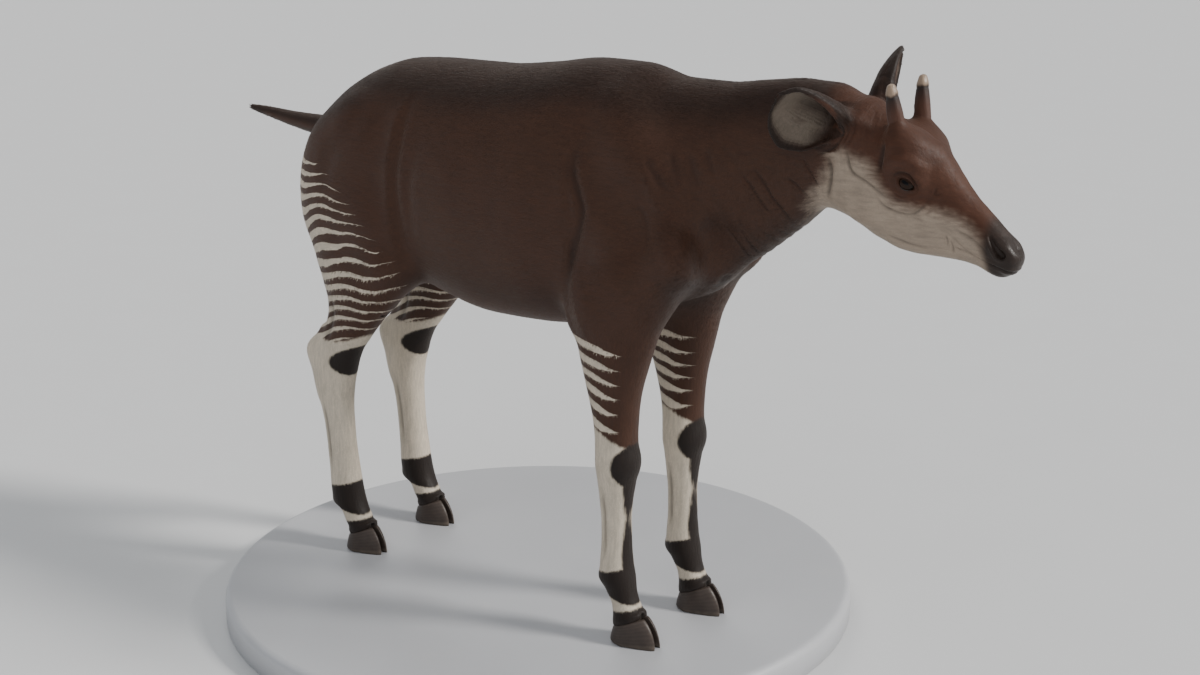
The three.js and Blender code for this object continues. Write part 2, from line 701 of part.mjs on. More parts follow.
// One of the two claws of a foot: a wedge with a rounded heel, a pointed toe and a flat sole
function clawGeometry(name, which) {
  const foot = coronet(name);
  const side = Math.sign(foot.centre.y);
  const out = which === 'outer' ? side : -side;
  const sides = 20;
  const toeReach = name.startsWith('fore') ? 88 : 84;
  const heelReach = name.startsWith('fore') ? 56 : 54;
  const level = (share) => {
    const half = 25 - 3 * share;
    const front = toeReach - 44 * share;
    const back = heelReach - 8 * share;
    return Array.from({ length: sides }, (_, i) => {
      const angle = (2 * Math.PI * i) / sides;
      const cos = Math.cos(angle);
      const sin = Math.sin(angle);
      const along = cos > 0 ? front * cos : back * cos;
      const taper = cos > 0 ? 1 - 0.25 * cos : 1;
      const across = sin * out > 0 ? half * 1.85 * Math.abs(sin) ** (cos > 0 ? 1.15 : 0.8) * taper : 0;
      const y = foot.centre.y + out * (CLAW_GAP / 2) + out * across;
      const rise = share * (foot.centre.z + along * Math.tan(HOOF_TILT));
      return new THREE.Vector3(foot.centre.x + along, y, GAP + rise * (1 - GAP / foot.centre.z));
    }).filter((_, i) => i === 0 || i === sides / 2 || Math.sin((2 * Math.PI * i) / sides) * out > 0);
  };
  return skinOver([level(0), level(0.5), level(1)]);
}

// An ossicone: a skin-covered cone that leans back, with a small bare knob at its tip. The left
// one stands a little taller. Its profile is half width by share of length.
const HORN_FOOT = { t: 188, y: 41, w: 48 };
const HORN_TIP = { t: 62, y: 66, left: 216, right: 203 };
const HORN_PROFILE = [[28, 0], [33, 0.3], [27, 0.52], [15, 0.87], [10.5, 0.96]];
const HORN_SIDES = 16;

function ossiconeGeometry(side, cutter) {
  const foot = headPoint(HORN_FOOT.t, side * HORN_FOOT.y, HORN_FOOT.w);
  const tip = headPoint(HORN_TIP.t, side * HORN_TIP.y, side > 0 ? HORN_TIP.left : HORN_TIP.right);
  const axis = new THREE.Vector3().subVectors(tip, foot);
  const length = axis.length();
  const flank = new THREE.SplineCurve(HORN_PROFILE.map(([half, share]) => new THREE.Vector2(half, share * length)));
  const points = [new THREE.Vector2(0, 0), ...flank.getPoints(8), new THREE.Vector2(5.5, length * 0.99),
    new THREE.Vector2(0, length)];
  const geometry = new THREE.LatheGeometry(points, HORN_SIDES);
  geometry.applyQuaternion(new THREE.Quaternion().setFromUnitVectors(UPRIGHT, axis.normalize()));
  geometry.translate(foot.x, foot.y, foot.z);
  return geometryOf(solidOf(geometry).subtract(cutter));
}

// Ears: leaf-shaped cups on a thick rolled root, fuller below their axis than above it. The
// right one is laid back and faces the side, the left one is pricked.
const EARS = {
  ear_right: { root: [1072, -46, 1372], tip: [978, -236, 1474], facing: [0.45, -0.8, -0.35], fullness: [1.6, 0.5] },
  ear_left: { root: [1072, 46, 1385], tip: [1026, 212, 1540], facing: [0.8, 0.5, 0], fullness: [1.1, 0.85] },
};
const EAR_ROWS = 12;
const EAR_COLUMNS = 10;
const earHalfWidth = curveThrough([[0, 26], [0.2, 43], [0.4, 67], [0.6, 76], [0.78, 68], [0.92, 45], [1, 9]]);
const earDepth = curveThrough([[0, 42], [0.25, 48], [0.55, 42], [0.85, 22], [1, 6]]);
const earWrap = curveThrough([[0, 2.7], [0.2, 2.35], [0.45, 1.5], [1, 1.1]]);
const earThickness = curveThrough([[0, 9], [0.3, 6.5], [0.6, EAR_THICKNESS], [1, 2.5]]);

// Where an ear lies: its root, the ways along, across and out of its opening, and its length
function earFrame(name) {
  const ear = EARS[name];
  const side = name.endsWith('left') ? 1 : -1;
  const root = new THREE.Vector3(...ear.root);
  const along = new THREE.Vector3(...ear.tip).sub(root);
  const length = along.length();
  along.normalize();
  const facing = new THREE.Vector3(...ear.facing);
  facing.addScaledVector(along, -facing.dot(along)).normalize();
  const across = new THREE.Vector3().crossVectors(along, facing).multiplyScalar(-side).normalize();
  return { root, along, across, facing, length, fullness: ear.fullness };
}

// A point of the cup: s from root to tip, c from one rim, -1, to the other, 1, and how far the
// point lies inside the outer face
function earPoint(frame, s, c, lift) {
  const full = earWrap(s);
  const angle = full * c;
  const fade = Math.min(s / 0.3, 1) * (1 - 0.5 * Math.max((s - 0.6) / 0.4, 0));
  const lean = 1 + (frame.fullness[c > 0 ? 1 : 0] - 1) * fade * Math.abs(c);
  const spread = ((earHalfWidth(s) - lift) / (full > Math.PI / 2 ? 1 : Math.sin(full))) * lean;
  const deep = (earDepth(s) - lift) / (1 - Math.cos(full));
  return frame.root.clone().addScaledVector(frame.along, s * frame.length)
    .addScaledVector(frame.across, spread * Math.sin(angle))
    .addScaledVector(frame.facing, -deep * (Math.cos(angle) - Math.cos(full)));
}

function earGeometry(name, cutter) {
  const frame = earFrame(name);
  const rings = [];
  for (let r = 0; r <= EAR_ROWS; r += 1) {
    const s = 1 - (1 - r / EAR_ROWS) ** 1.25;
    const turns = Array.from({ length: EAR_COLUMNS + 1 }, (_, c) => (2 * c) / EAR_COLUMNS - 1);
    const outside = turns.map((c) => earPoint(frame, s, c, 0));
    const inside = turns.map((c) => earPoint(frame, s, 0.94 * c, earThickness(s)));
    rings.push([...outside, ...inside.reverse()]);
  }
  return geometryOf(solidOf(cStrip(rings)).subtract(cutter));
}

// A skin over open C-shaped rings: each end is closed between the outer and the inner curve
function cStrip(rings) {
  const count = rings[0].length;
  const points = rings.flat();
  const indices = [];
  for (let r = 0; r < rings.length - 1; r += 1) {
    for (let i = 0; i < count; i += 1) {
      const a = r * count + i;
      const b = r * count + ((i + 1) % count);
      indices.push(a, b, b + count, a, b + count, a + count);
    }
  }
  for (const [ring, flip] of [[0, true], [rings.length - 1, false]]) {
    const start = ring * count;
    for (let i = 0; i < count / 2 - 1; i += 1) {
      const quad = [start + i, start + i + 1, start + count - 2 - i, start + count - 1 - i];
      if (flip) indices.push(quad[0], quad[3], quad[2], quad[0], quad[2], quad[1]);
      else indices.push(quad[0], quad[1], quad[2], quad[0], quad[2], quad[3]);
    }
  }
  const geometry = new THREE.BufferGeometry().setFromPoints(points);
  geometry.setIndex(indices);
  return facingOut(geometry);
}

// The tail: a tapering, short-haired dock held out behind, with a blunt tip. Its first stretch is
// sunk in the rump.
const TAIL_ROOT = new THREE.Vector3(-782, 0, 1230);
const TAIL_TIP = new THREE.Vector3(TAIL_ROOT.x - TAIL_LENGTH, 0, 1263);
const TAIL_RINGS = 14;
const TAIL_SIDES = 16;

const tailCurve = new THREE.CatmullRomCurve3([
  TAIL_ROOT,
  new THREE.Vector3(-882, 0, 1236),
  new THREE.Vector3(-1012, 0, 1249),
  TAIL_TIP,
]);
const tailRadius = curveThrough([[0, 35], [0.3, 28], [0.55, 21.5], [0.8, 15], [0.95, 10.5], [1, 4]]);

function tailRing(share) {
  const centre = tailCurve.getPointAt(share);
  const up = new THREE.Vector3().crossVectors(tailCurve.getTangentAt(share), ACROSS).normalize();
  return Array.from({ length: TAIL_SIDES }, (_, k) => {
    const angle = (2 * Math.PI * k) / TAIL_SIDES;
    return centre.clone().addScaledVector(ACROSS, tailRadius(share) * Math.cos(angle))
      .addScaledVector(up, tailRadius(share) * Math.sin(angle));
  });
}

function tailGeometry(cutter) {
  const rings = Array.from({ length: TAIL_RINGS + 1 }, (_, i) => tailRing(1 - (1 - i / TAIL_RINGS) ** 1.3));
  return geometryOf(solidOf(skinOver(rings)).subtract(cutter));
}

function baseGeometry() {
  const arc = Array.from({ length: 4 }, (_, i) => {
    const angle = (Math.PI / 2) * (i / 3);
    return new THREE.Vector2(BASE_RADIUS - BASE_BEVEL + BASE_BEVEL * Math.cos(angle),
      BASE_THICKNESS - BASE_BEVEL + BASE_BEVEL * Math.sin(angle));
  });
  const profile = [new THREE.Vector2(0, 0), new THREE.Vector2(BASE_RADIUS, 0), ...arc,
    new THREE.Vector2(0, BASE_THICKNESS)];
  const geometry = new THREE.LatheGeometry(profile, BASE_SIDES);
  geometry.rotateX(Math.PI / 2);
  return geometry.translate(BASE_CENTRE.x, BASE_CENTRE.y, -BASE_THICKNESS);
}

const okapi = new THREE.Group();
okapi.scale.setScalar(SHOULDER_HEIGHT / DRAWN_HEIGHT);
okapi.position.set(-BASE_CENTRE.x, -BASE_CENTRE.y, BASE_THICKNESS);

function addPart(name, geometry, color, roughness) {
  const mesh = new THREE.Mesh(geometry, new THREE.MeshStandardMaterial({ color, roughness, metalness: 0 }));
  mesh.name = name;
  okapi.add(mesh);
}

const headAndNeck = solidOf(skinOver(headRings(GAP))).add(solidOf(neckGeometry(GAP)));

addPart('stand_base', baseGeometry(), 0xc9c6c0, 0.6);
addPart('torso', torsoGeometry(0), CHESTNUT, 0.7);
addPart('neck', neckGeometry(0), CHESTNUT, 0.7);
addPart('head', headGeometry(), CHEEK_GREY, 0.65);
for (const [label, side] of [['left', 1], ['right', -1]]) {
  addPart(`eye_${label}`, eyeGeometry(side), HORN_BLACK, 0.1);
  addPart(`ear_${label}`, earGeometry(`ear_${label}`, headAndNeck), DARK_BROWN, 0.7);
  addPart(`ossicone_${label}`, ossiconeGeometry(side, headAndNeck), DARK_BROWN, 0.6);
  for (const leg of ['foreleg', 'hindleg']) {
    const name = `${leg}_${label}`;
    addPart(name, legGeometry(name), SHANK_WHITE, 0.7);
    for (const which of ['inner', 'outer']) {
      addPart(`claw_${name}_${which}`, clawGeometry(name, which), HORN_BLACK, 0.45);
    }
  }
}
addPart('tail', tailGeometry(solidOf(torsoGeometry(GAP))), CHESTNUT, 0.7);

export default okapi;
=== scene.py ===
"""A life-size okapi museum model on a round base: its skin, coat, eyes, horns, hooves and stand.

The anatomy is drawn in millimetres in the animal's own frame: X runs forward from tail to nose,
Y to the animal's left and Z up, from the middle of the four hooves on top of the base. Every
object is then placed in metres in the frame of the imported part.
"""

import math

import bpy
import numpy as np
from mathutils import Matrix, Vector
from mathutils.bvhtree import BVHTree


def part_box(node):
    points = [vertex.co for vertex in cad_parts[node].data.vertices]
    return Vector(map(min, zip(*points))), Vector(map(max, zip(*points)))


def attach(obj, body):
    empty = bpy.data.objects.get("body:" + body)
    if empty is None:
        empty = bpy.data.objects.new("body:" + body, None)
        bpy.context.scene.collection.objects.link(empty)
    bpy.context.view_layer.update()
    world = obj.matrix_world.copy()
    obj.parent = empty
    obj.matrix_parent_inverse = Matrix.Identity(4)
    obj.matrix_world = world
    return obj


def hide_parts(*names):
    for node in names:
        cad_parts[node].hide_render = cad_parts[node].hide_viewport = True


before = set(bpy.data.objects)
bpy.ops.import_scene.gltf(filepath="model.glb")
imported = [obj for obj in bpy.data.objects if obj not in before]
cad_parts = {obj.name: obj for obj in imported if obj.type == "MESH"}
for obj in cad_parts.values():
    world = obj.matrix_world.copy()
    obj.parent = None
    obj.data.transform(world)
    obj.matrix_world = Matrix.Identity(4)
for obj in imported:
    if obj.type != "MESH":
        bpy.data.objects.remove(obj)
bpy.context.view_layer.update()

bl_info = {
    "name": "Okapi museum model",
    "version": (1, 0, 0),
    "blender": (4, 5, 0),
    "location": "3D View > Sidebar > Okapi",
    "description": "Builds the skin, coat, eyes, horns, hooves, base and stage of a life-size okapi model",
    "category": "Object",
}

MM = 0.001
BASE_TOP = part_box("stand_base")[1].z
BODY_ORIGIN = np.array([0.023, -0.082, BASE_TOP])
SIDES = {"left": 1, "right": -1}
LEGS = ["foreleg_left", "foreleg_right", "hindleg_left", "hindleg_right"]
SEED = 20


# Settings that a user would change


class OkapiSkinSettings(bpy.types.PropertyGroup):
    """How finely the skin is made and how deep it lies under the coat"""

    body_cell: bpy.props.FloatProperty(
        name="Body cell", description="Size of the skin's faces on the trunk and legs",
        default=0.0064, min=0.003, max=0.02, unit="LENGTH")
    head_cell: bpy.props.FloatProperty(
        name="Head cell", description="Size of the skin's faces on the head and ears",
        default=0.0024, min=0.0015, max=0.01, unit="LENGTH")
    coat_depth: bpy.props.FloatProperty(
        name="Coat depth", description="How far the skin lies inside the outline of the coat",
        default=0.0015, min=0.0, max=0.005, unit="LENGTH")


class OkapiCoatSettings(bpy.types.PropertyGroup):
    """Colours and lengths of the coat"""

    back: bpy.props.FloatVectorProperty(
        name="Back", description="Dark brown along the back and neck",
        default=(0.023, 0.0105, 0.0065), size=3, min=0, max=1, subtype="COLOR")
    flank: bpy.props.FloatVectorProperty(
        name="Flank", description="Chestnut of the sides",
        default=(0.052, 0.0220, 0.0125), size=3, min=0, max=1, subtype="COLOR")
    dark: bpy.props.FloatVectorProperty(
        name="Dark", description="Near black of the leg bands, muzzle and ear rims",
        default=(0.014, 0.009, 0.007), size=3, min=0, max=1, subtype="COLOR")
    white: bpy.props.FloatVectorProperty(
        name="White", description="Cream of the stripes and lower legs",
        default=(0.62, 0.54, 0.43), size=3, min=0, max=1, subtype="COLOR")
    cheek: bpy.props.FloatVectorProperty(
        name="Cheek", description="Pale grey of the cheeks and throat",
        default=(0.36, 0.29, 0.225), size=3, min=0, max=1, subtype="COLOR")
    brow: bpy.props.FloatVectorProperty(
        name="Brow", description="Red brown of the forehead",
        default=(0.074, 0.0275, 0.0145), size=3, min=0, max=1, subtype="COLOR")
    body_hair: bpy.props.FloatProperty(
        name="Body hair", description="Length of the hair on the flanks",
        default=0.011, min=0.002, max=0.05, unit="LENGTH")
    face_hair: bpy.props.FloatProperty(
        name="Face hair", description="Length of the hair on the face and feet",
        default=0.0032, min=0.001, max=0.02, unit="LENGTH")
    tufts: bpy.props.IntProperty(
        name="Tufts", description="How many tufts cover the whole animal",
        default=260000, min=1000, max=400000)


class OkapiHeadSettings(bpy.types.PropertyGroup):
    """Sizes and colours of the eyes and horns"""

    iris: bpy.props.FloatVectorProperty(
        name="Iris", description="Dark brown of the iris",
        default=(0.018, 0.008, 0.004), size=3, min=0, max=1, subtype="COLOR")
    horn_tip: bpy.props.FloatVectorProperty(
        name="Horn tip", description="Worn, bare tip of each ossicone",
        default=(0.33, 0.24, 0.17), size=3, min=0, max=1, subtype="COLOR")
    lash: bpy.props.FloatProperty(
        name="Lashes", description="Length of the upper lashes",
        default=0.013, min=0.0, max=0.03, unit="LENGTH")


class OkapiStandSettings(bpy.types.PropertyGroup):
    """The display base and the hooves on it"""

    paint: bpy.props.FloatVectorProperty(
        name="Base paint", description="Satin grey paint of the base",
        default=(0.40, 0.405, 0.42), size=3, min=0, max=1, subtype="COLOR")
    horn: bpy.props.FloatVectorProperty(
        name="Hoof horn", description="Dark horn of the hooves",
        default=(0.030, 0.022, 0.018), size=3, min=0, max=1, subtype="COLOR")
    bevel: bpy.props.FloatProperty(
        name="Base bevel", description="Radius of the base's upper edge",
        default=0.022, min=0.005, max=0.04, unit="LENGTH")


class OkapiStageSettings(bpy.types.PropertyGroup):
    """Camera, floor and lights"""

    lens: bpy.props.FloatProperty(
        name="Lens", description="Focal length of the camera",
        default=50.0, min=20, max=200, unit="CAMERA")
    floor: bpy.props.FloatVectorProperty(
        name="Floor", description="Pale grey of the floor and backdrop",
        default=(0.58, 0.585, 0.59), size=3, min=0, max=1, subtype="COLOR")
    key: bpy.props.FloatProperty(
        name="Key light", description="Strength of the soft key light", default=3.8, min=0, max=20)
    sky: bpy.props.FloatProperty(
        name="Sky", description="Strength of the even light from all round", default=0.42, min=0, max=5)


# Smooth curves and simple forms that the animal's surface is made of


class Curve:
    """A smooth curve through stations, flat beyond its ends, read from a fine table."""

    STEP = 1.0

    def __init__(self, xs, values):
        xs = np.array(xs, float)
        values = np.array(values, float)
        chord = np.diff(values) / np.diff(xs)
        slope = np.zeros(len(xs))
        product = chord[:-1] * chord[1:]
        total = chord[:-1] + chord[1:]
        slope[1:-1] = np.where(product > 0, 2 * product / np.where(total == 0, 1, total), 0)
        self.step = self.STEP * (xs[-1] - xs[0]) / max(round((xs[-1] - xs[0]) / self.STEP), 200)
        at = np.arange(xs[0], xs[-1] + self.step, self.step).clip(xs[0], xs[-1])
        i = np.clip(np.searchsorted(xs, at, side="right") - 1, 0, len(xs) - 2)
        h = xs[i + 1] - xs[i]
        t = (at - xs[i]) / h
        rise = values[i] * (1 + 2 * t) * (1 - t) ** 2 + values[i + 1] * t * t * (3 - 2 * t)
        table = rise + h * t * (1 - t) * (slope[i] * (1 - t) - slope[i + 1] * t)
        self.start = xs[0]
        self.table = np.append(table, table[-1]).astype(np.float32)

    def __call__(self, x):
        place = np.clip((x - self.start) / self.step, 0, len(self.table) - 2.001)
        i = np.asarray(place).astype(np.int32)
        part = (place - i).astype(np.float32) if isinstance(place, np.ndarray) else place - i
        return self.table[i] * (1 - part) + self.table[i + 1] * part


def profiles(sections):
    """The columns of a list of sections as curves over the first column."""
    columns = list(zip(*sections))
    return [Curve(columns[0], column) for column in columns[1:]]


def blend(a, b, width):
    """Smooth union of two distances."""
    h = np.maximum(width - np.abs(a - b), 0) / width
    return np.minimum(a, b) - h * h * width / 4


def hollow(a, b, width):
    """Distance a with the form b taken out, smoothly."""
    return -blend(-a, b, width)


def step_between(x, low, high):
    """A smooth rise from 0 at low to 1 at high."""
    t = np.clip((x - low) / (high - low), 0, 1)
    return t * t * (3 - 2 * t)


def mound(x, half_width):
    """A smooth bell, 1 high at 0."""
    return np.exp(-((x / half_width) ** 2))


def muscle(x, y, z, centre, radii, pitch=0.0):
    """Distance to an ellipsoid, pitched nose down about Y."""
    c, s = math.cos(pitch), math.sin(pitch)
    px = (x - centre[0]) * c - (z - centre[2]) * s
    pz = (x - centre[0]) * s + (z - centre[2]) * c
    py = y - centre[1]
    rx, ry, rz = radii
    near = np.sqrt((px / rx) ** 2 + (py / ry) ** 2 + (pz / rz) ** 2)
    slope = np.sqrt((px / rx**2) ** 2 + (py / ry**2) ** 2 + (pz / rz**2) ** 2)
    return near * (near - 1) / np.maximum(slope, 1e-5)


def limb(x, y, z, a, b, ra, rb, flared=False):
    """Distance to a rounded limb that narrows from radius ra at a to rb at b, evenly or flared."""
    d = [b[i] - a[i] for i in range(3)]
    along = ((x - a[0]) * d[0] + (y - a[1]) * d[1] + (z - a[2]) * d[2]) / sum(v * v for v in d)
    t = np.clip(along, 0, 1)
    off = (v - start - t * step for v, start, step in zip((x, y, z), a, d))
    gap = np.sqrt(sum(v * v for v in off))
    return gap - ra - (t * t * (3 - 2 * t) if flared else t) * (rb - ra)


def chain(x, y, z, points, radii):
    """Distance to rounded limbs joined end to end."""
    joints = zip(points, points[1:], radii, radii[1:])
    return np.minimum.reduce([limb(x, y, z, a, b, ra, rb) for a, b, ra, rb in joints])


def oval(side, up, half_side, half_up, half_down, end, end_length, power):
    """Distance in a section to an oval with its own half sizes, rounded past its last section."""
    half = np.where(up > 0, half_up, half_down)
    a = np.abs(side) / half_side
    b = np.abs(up) / half
    e = np.maximum(end, 0)
    k = np.maximum((a**power + b**power + e**power) ** (1 / power), 1e-3)
    slope = ((a / k) ** (power - 1) / half_side) ** 2 + ((b / k) ** (power - 1) / half) ** 2
    slope = slope + ((e / k) ** (power - 1) / end_length) ** 2
    return (k - 1) / np.sqrt(np.maximum(slope, 1e-8))


# Trunk and neck: x, top line, height of the widest place, under line, half width
TRUNK = profiles([
    (-750, 1286, 1130, 1030, 86),
    (-700, 1322, 1132, 992, 118),
    (-600, 1384, 1145, 930, 164),
    (-480, 1436, 1160, 895, 188),
    (-380, 1460, 1150, 862, 196),
    (-240, 1466, 1120, 806, 206),
    (-50, 1465, 1090, 778, 220),
    (130, 1480, 1085, 784, 220),
    (290, 1499, 1110, 806, 205),
    (420, 1496, 1160, 832, 180),
    (560, 1468, 1200, 908, 152),
    (680, 1466, 1230, 982, 124),
    (800, 1479, 1270, 1060, 98),
    (900, 1488, 1310, 1136, 86),
    (980, 1482, 1345, 1197, 80),
    (1060, 1455, 1355, 1210, 76),
])
TRUNK_BACK, TRUNK_FRONT = -750, 1060
RUMP_END, POLL_END = 50, 60


def trunk(x, y, z):
    """Distance to the body and neck, as one sweep from rump to poll."""
    at = np.clip(x, TRUNK_BACK, TRUNK_FRONT)
    top, waist, under, half = (curve(at) for curve in TRUNK)
    end_length = np.where(x < 0, RUMP_END, POLL_END)
    return oval(y, z - waist, half, top - waist, waist - under, np.abs(x - at) / end_length, end_length, 2.15)


# Foreleg: height, x, half length fore and aft, y, half width
FORELEG = profiles([
    (62, 497, 51, 141, 44),
    (84, 489, 44, 141, 40),
    (109, 478, 40, 141, 37),
    (134, 466, 43, 141, 39),
    (172, 453, 49, 141, 46),
    (214, 449, 46, 141, 43),
    (270, 449, 43, 141, 37),
    (326, 448, 42, 141, 37),
    (381, 447, 46, 141, 41),
    (436, 448, 53, 141, 49),
    (488, 450, 60, 141, 57),
    (544, 447, 60, 141, 52),
    (600, 444, 66, 141, 50),
    (655, 440, 76, 141, 53),
    (703, 438, 88, 140, 58),
    (756, 438, 103, 138, 66),
    (830, 440, 122, 133, 74),
    (930, 455, 140, 122, 76),
])
FORELEG_TOP = 930

# Hind leg: height, x, half length fore and aft, y, half width
HINDLEG = profiles([
    (60, -521, 49, 148, 43),
    (84, -540, 44, 148, 41),
    (112, -556, 44, 148, 41),
    (140, -580, 53, 148, 47),
    (180, -590, 52, 148, 46),
    (240, -597, 49, 148, 43),
    (320, -606, 47, 148, 41),
    (380, -612, 49, 148, 42),
    (440, -620, 55, 148, 46),
    (500, -624, 66, 148, 52),
    (560, -618, 80, 148, 54),
    (610, -600, 86, 148, 52),
    (655, -566, 88, 148, 54),
    (715, -524, 99, 148, 60),
    (772, -494, 130, 146, 70),
    (818, -484, 160, 142, 78),
    (880, -478, 190, 136, 84),
    (980, -490, 205, 120, 84),
])
HINDLEG_TOP = 980

# The left feet stand a little out of line: how far each swings forward at the ground
FORE_SWING, HIND_SWING = 3, -12
SWING_TOP = 900


def swing(y, z, left):
    """How far forward the left legs are swung at each height."""
    return np.where(y > 0, left, 0) * np.clip(1 - z / SWING_TOP, 0, 1)


def column(x, y, z, curves, top, end_length, power):
    """The column of a leg, as an upright sweep."""
    at = np.minimum(z, top)
    centre_x, length, centre_y, width = (curve(at) for curve in curves)
    return oval(y - centre_y, x - centre_x, width, length, length, (z - at) / end_length, end_length, power)


HOOF_TILT = math.radians(22)
HOOF_TOP = 58
HOOF_X = {"foreleg": 499, "hindleg": -523}


def coronet(x, z, name):
    """Height above the sloping plane where skin meets horn, higher in front than at the heel."""
    return (z - HOOF_TOP) * math.cos(HOOF_TILT) - (x - HOOF_X[name]) * math.sin(HOOF_TILT)


def foot(d, x, y, z, name, side_y):
    """Ends a leg at its coronet with a rounded band."""
    band = muscle(x, y, z, (HOOF_X[name] - 4, side_y, HOOF_TOP + 12), (48, 42, 16), -HOOF_TILT)
    return hollow(blend(d, band, 8), coronet(x, z, name) + 1, 5)


def foreleg(x, y, z):
    """A foreleg with its elbow, knee and the back of its fetlock."""
    d = column(x, y, z, FORELEG, FORELEG_TOP, 90, 2.1)
    d = blend(d, limb(x, y, z, (385, 150, 885), (345, 146, 868), 62, 42), 60)
    d = blend(d, muscle(x, y, z, (462, 141, 492), (50, 50, 58)), 14)
    d = blend(d, muscle(x, y, z, (428, 141, 170), (30, 32, 26)), 16)
    return foot(d, x, y, z, "foreleg", 141)


def shoulder(x, y, z):
    """The shoulder blade, upper arm and the muscle behind them."""
    blade = muscle(x, y, z, (505, 82, 1240), (112, 90, 215), -0.57)
    arm = limb(x, y, z, (636, 124, 1048), (432, 128, 905), 76, 76)
    triceps = muscle(x, y, z, (452, 112, 1040), (104, 88, 190), -0.25)
    return blend(blend(blade, arm, 70), triceps, 50)


def hindleg(x, y, z):
    """A hind leg with its hock and the back of its fetlock."""
    d = column(x, y, z, HINDLEG, HINDLEG_TOP, 160, 2.1)
    d = blend(d, limb(x, y, z, (-652, 148, 655), (-690, 148, 592), 16, 27), 50)
    d = blend(d, limb(x, y, z, (-690, 148, 592), (-655, 148, 470), 26, 22), 40)
    d = blend(d, muscle(x, y, z, (-608, 148, 140), (30, 32, 26)), 16)
    return foot(d, x, y, z, "hindleg", 148)


def haunch(x, y, z):
    """The thigh, the buttock and the stifle."""
    thigh = muscle(x, y, z, (-500, 112, 1090), (190, 92, 250), 0.1)
    buttock = muscle(x, y, z, (-660, 96, 1085), (108, 84, 190), 0.1)
    stifle = limb(x, y, z, (-390, 128, 990), (-350, 142, 905), 80, 62)
    return blend(blend(thigh, buttock, 60), stifle, 70)


# The tail: points and radii of a chain of limbs
TAIL_POINTS = [(-745, 0, 1229), (-790, 0, 1230), (-882, 0, 1236), (-950, 0, 1242), (-1012, 0, 1249),
               (-1075, 0, 1256), (-1128, 0, 1261)]
TAIL_RADII = [36, 34, 28, 23.5, 19.5, 15, 10]


# Head, in its own frame: t runs from poll to nose along the drooping axis, w up from it
HEAD_ORIGIN = (1010, 1345)
HEAD_DROP = math.radians(27)
HEAD_COS, HEAD_SIN = math.cos(HEAD_DROP), math.sin(HEAD_DROP)


def head_frame(x, z):
    """A place in side view in the head's own frame."""
    dx, dz = x - HEAD_ORIGIN[0], z - HEAD_ORIGIN[1]
    return dx * HEAD_COS - dz * HEAD_SIN, dx * HEAD_SIN + dz * HEAD_COS


def head_point(t, y, w):
    """A point of the head's frame in the body frame."""
    return np.array([HEAD_ORIGIN[0] + t * HEAD_COS + w * HEAD_SIN, y,
                     HEAD_ORIGIN[1] - t * HEAD_SIN + w * HEAD_COS])


# Head sections: t, forehead and nose line, widest place, jaw line, half width
HEAD = profiles([
    (-40, 98, 20, -118, 62),
    (30, 114, 20, -128, 68),
    (100, 128, 22, -136, 72),
    (165, 136, 24, -137, 76),
    (205, 133, 26, -134, 75),
    (240, 119, 24, -129, 67),
    (270, 105, 16, -120, 59),
    (310, 88, 8, -101, 51),
    (350, 75, 4, -81, 45),
    (390, 64, 4, -63, 41),
    (430, 54, 4, -50, 40),
    (462, 41, 2, -40, 38),
    (480, 30, 0, -33, 35),
])
HEAD_BACK, HEAD_FRONT, NOSE_END, NAPE_END = -40, 480, 25, 60

EYE = (204, 58, 34)
EYE_RADIUS = 26
EYE_OUTWARD = np.array([0.28, 0.94, 0.16]) / np.linalg.norm([0.28, 0.94, 0.16])
SOCKET_HALF_LENGTH, SOCKET_HALF_HEIGHT, SOCKET_DEPTH = 29, 21, 19
LID_LENGTH, LID_HEIGHT, LID_DEPTH = 50.5, 29.5, 3.2
HORN_ROOT = (160, 47, 92)
HORN_FOOT = (188, 41, 48)
HORN_TIP = {"left": (62, 66, 216), "right": (62, 66, 203)}

# The sleeve of skin up each horn: its two ends, their radii, and how softly both meet between
SLEEVE_ENDS = (192, 41, 48), (95.92, 61.4, 153.02)
SLEEVE_RADII = 40, 16.6
SLEEVE_PARTING = 220
EAR_ROOT = (34, 66, 56)

# Nostril: its path on the muzzle's side as t, y, w and radius
NOSTRIL = [(424, 35, 31, 2.4), (436, 38, 26, 3.2), (450, 39, 20, 4.6), (462, 37, 15, 6.6), (467, 34, 13, 6.8)]


def skull(x, y, z):
    """The head without ears, lids and nostrils."""
    t, w = head_frame(x, z)
    at = np.clip(t, HEAD_BACK, HEAD_FRONT)
    top, waist, jaw, half = (curve(at) for curve in HEAD)
    end_length = np.where(t < 0, NAPE_END, NOSE_END)
    d = oval(y, w - waist, half, top - waist, waist - jaw, np.abs(t - at) / end_length, end_length, 2.2)
    d = blend(d, muscle(t, y, w, (EYE[0] - 4, EYE[1] + 1, EYE[2] + 4), (44, 20, 34)), 26)
    d = blend(d, muscle(t, y, w, (EYE[0] - 28, 50, EYE[2] + 38), (46, 26, 26), 0.35), 28)
    d = blend(d, muscle(t, y, w, (118, 44, -48), (78, 34, 66)), 30)
    d = blend(d, limb(t, y, w, (262, 52, 2), (140, 68, 2), 12, 16), 24)
    d = blend(d, muscle(t, y, w, (452, 21, 16), (36, 20, 24)), 14)
    d = blend(d, muscle(t, y, w, (450, 0, -30), (40, 30, 20)), 10)
    d = hollow(d, muscle(t, y, w, (112, 100, 62), (52, 26, 36)), 24)
    d = blend(d, muscle(t, y, w, (HORN_ROOT[0], HORN_ROOT[1] - 3, HORN_ROOT[2] - 12), (60, 44, 56), 0.6), 30)
    return blend(d, muscle(t, y, w, EAR_ROOT, (36, 22, 34), 0.4), 20)


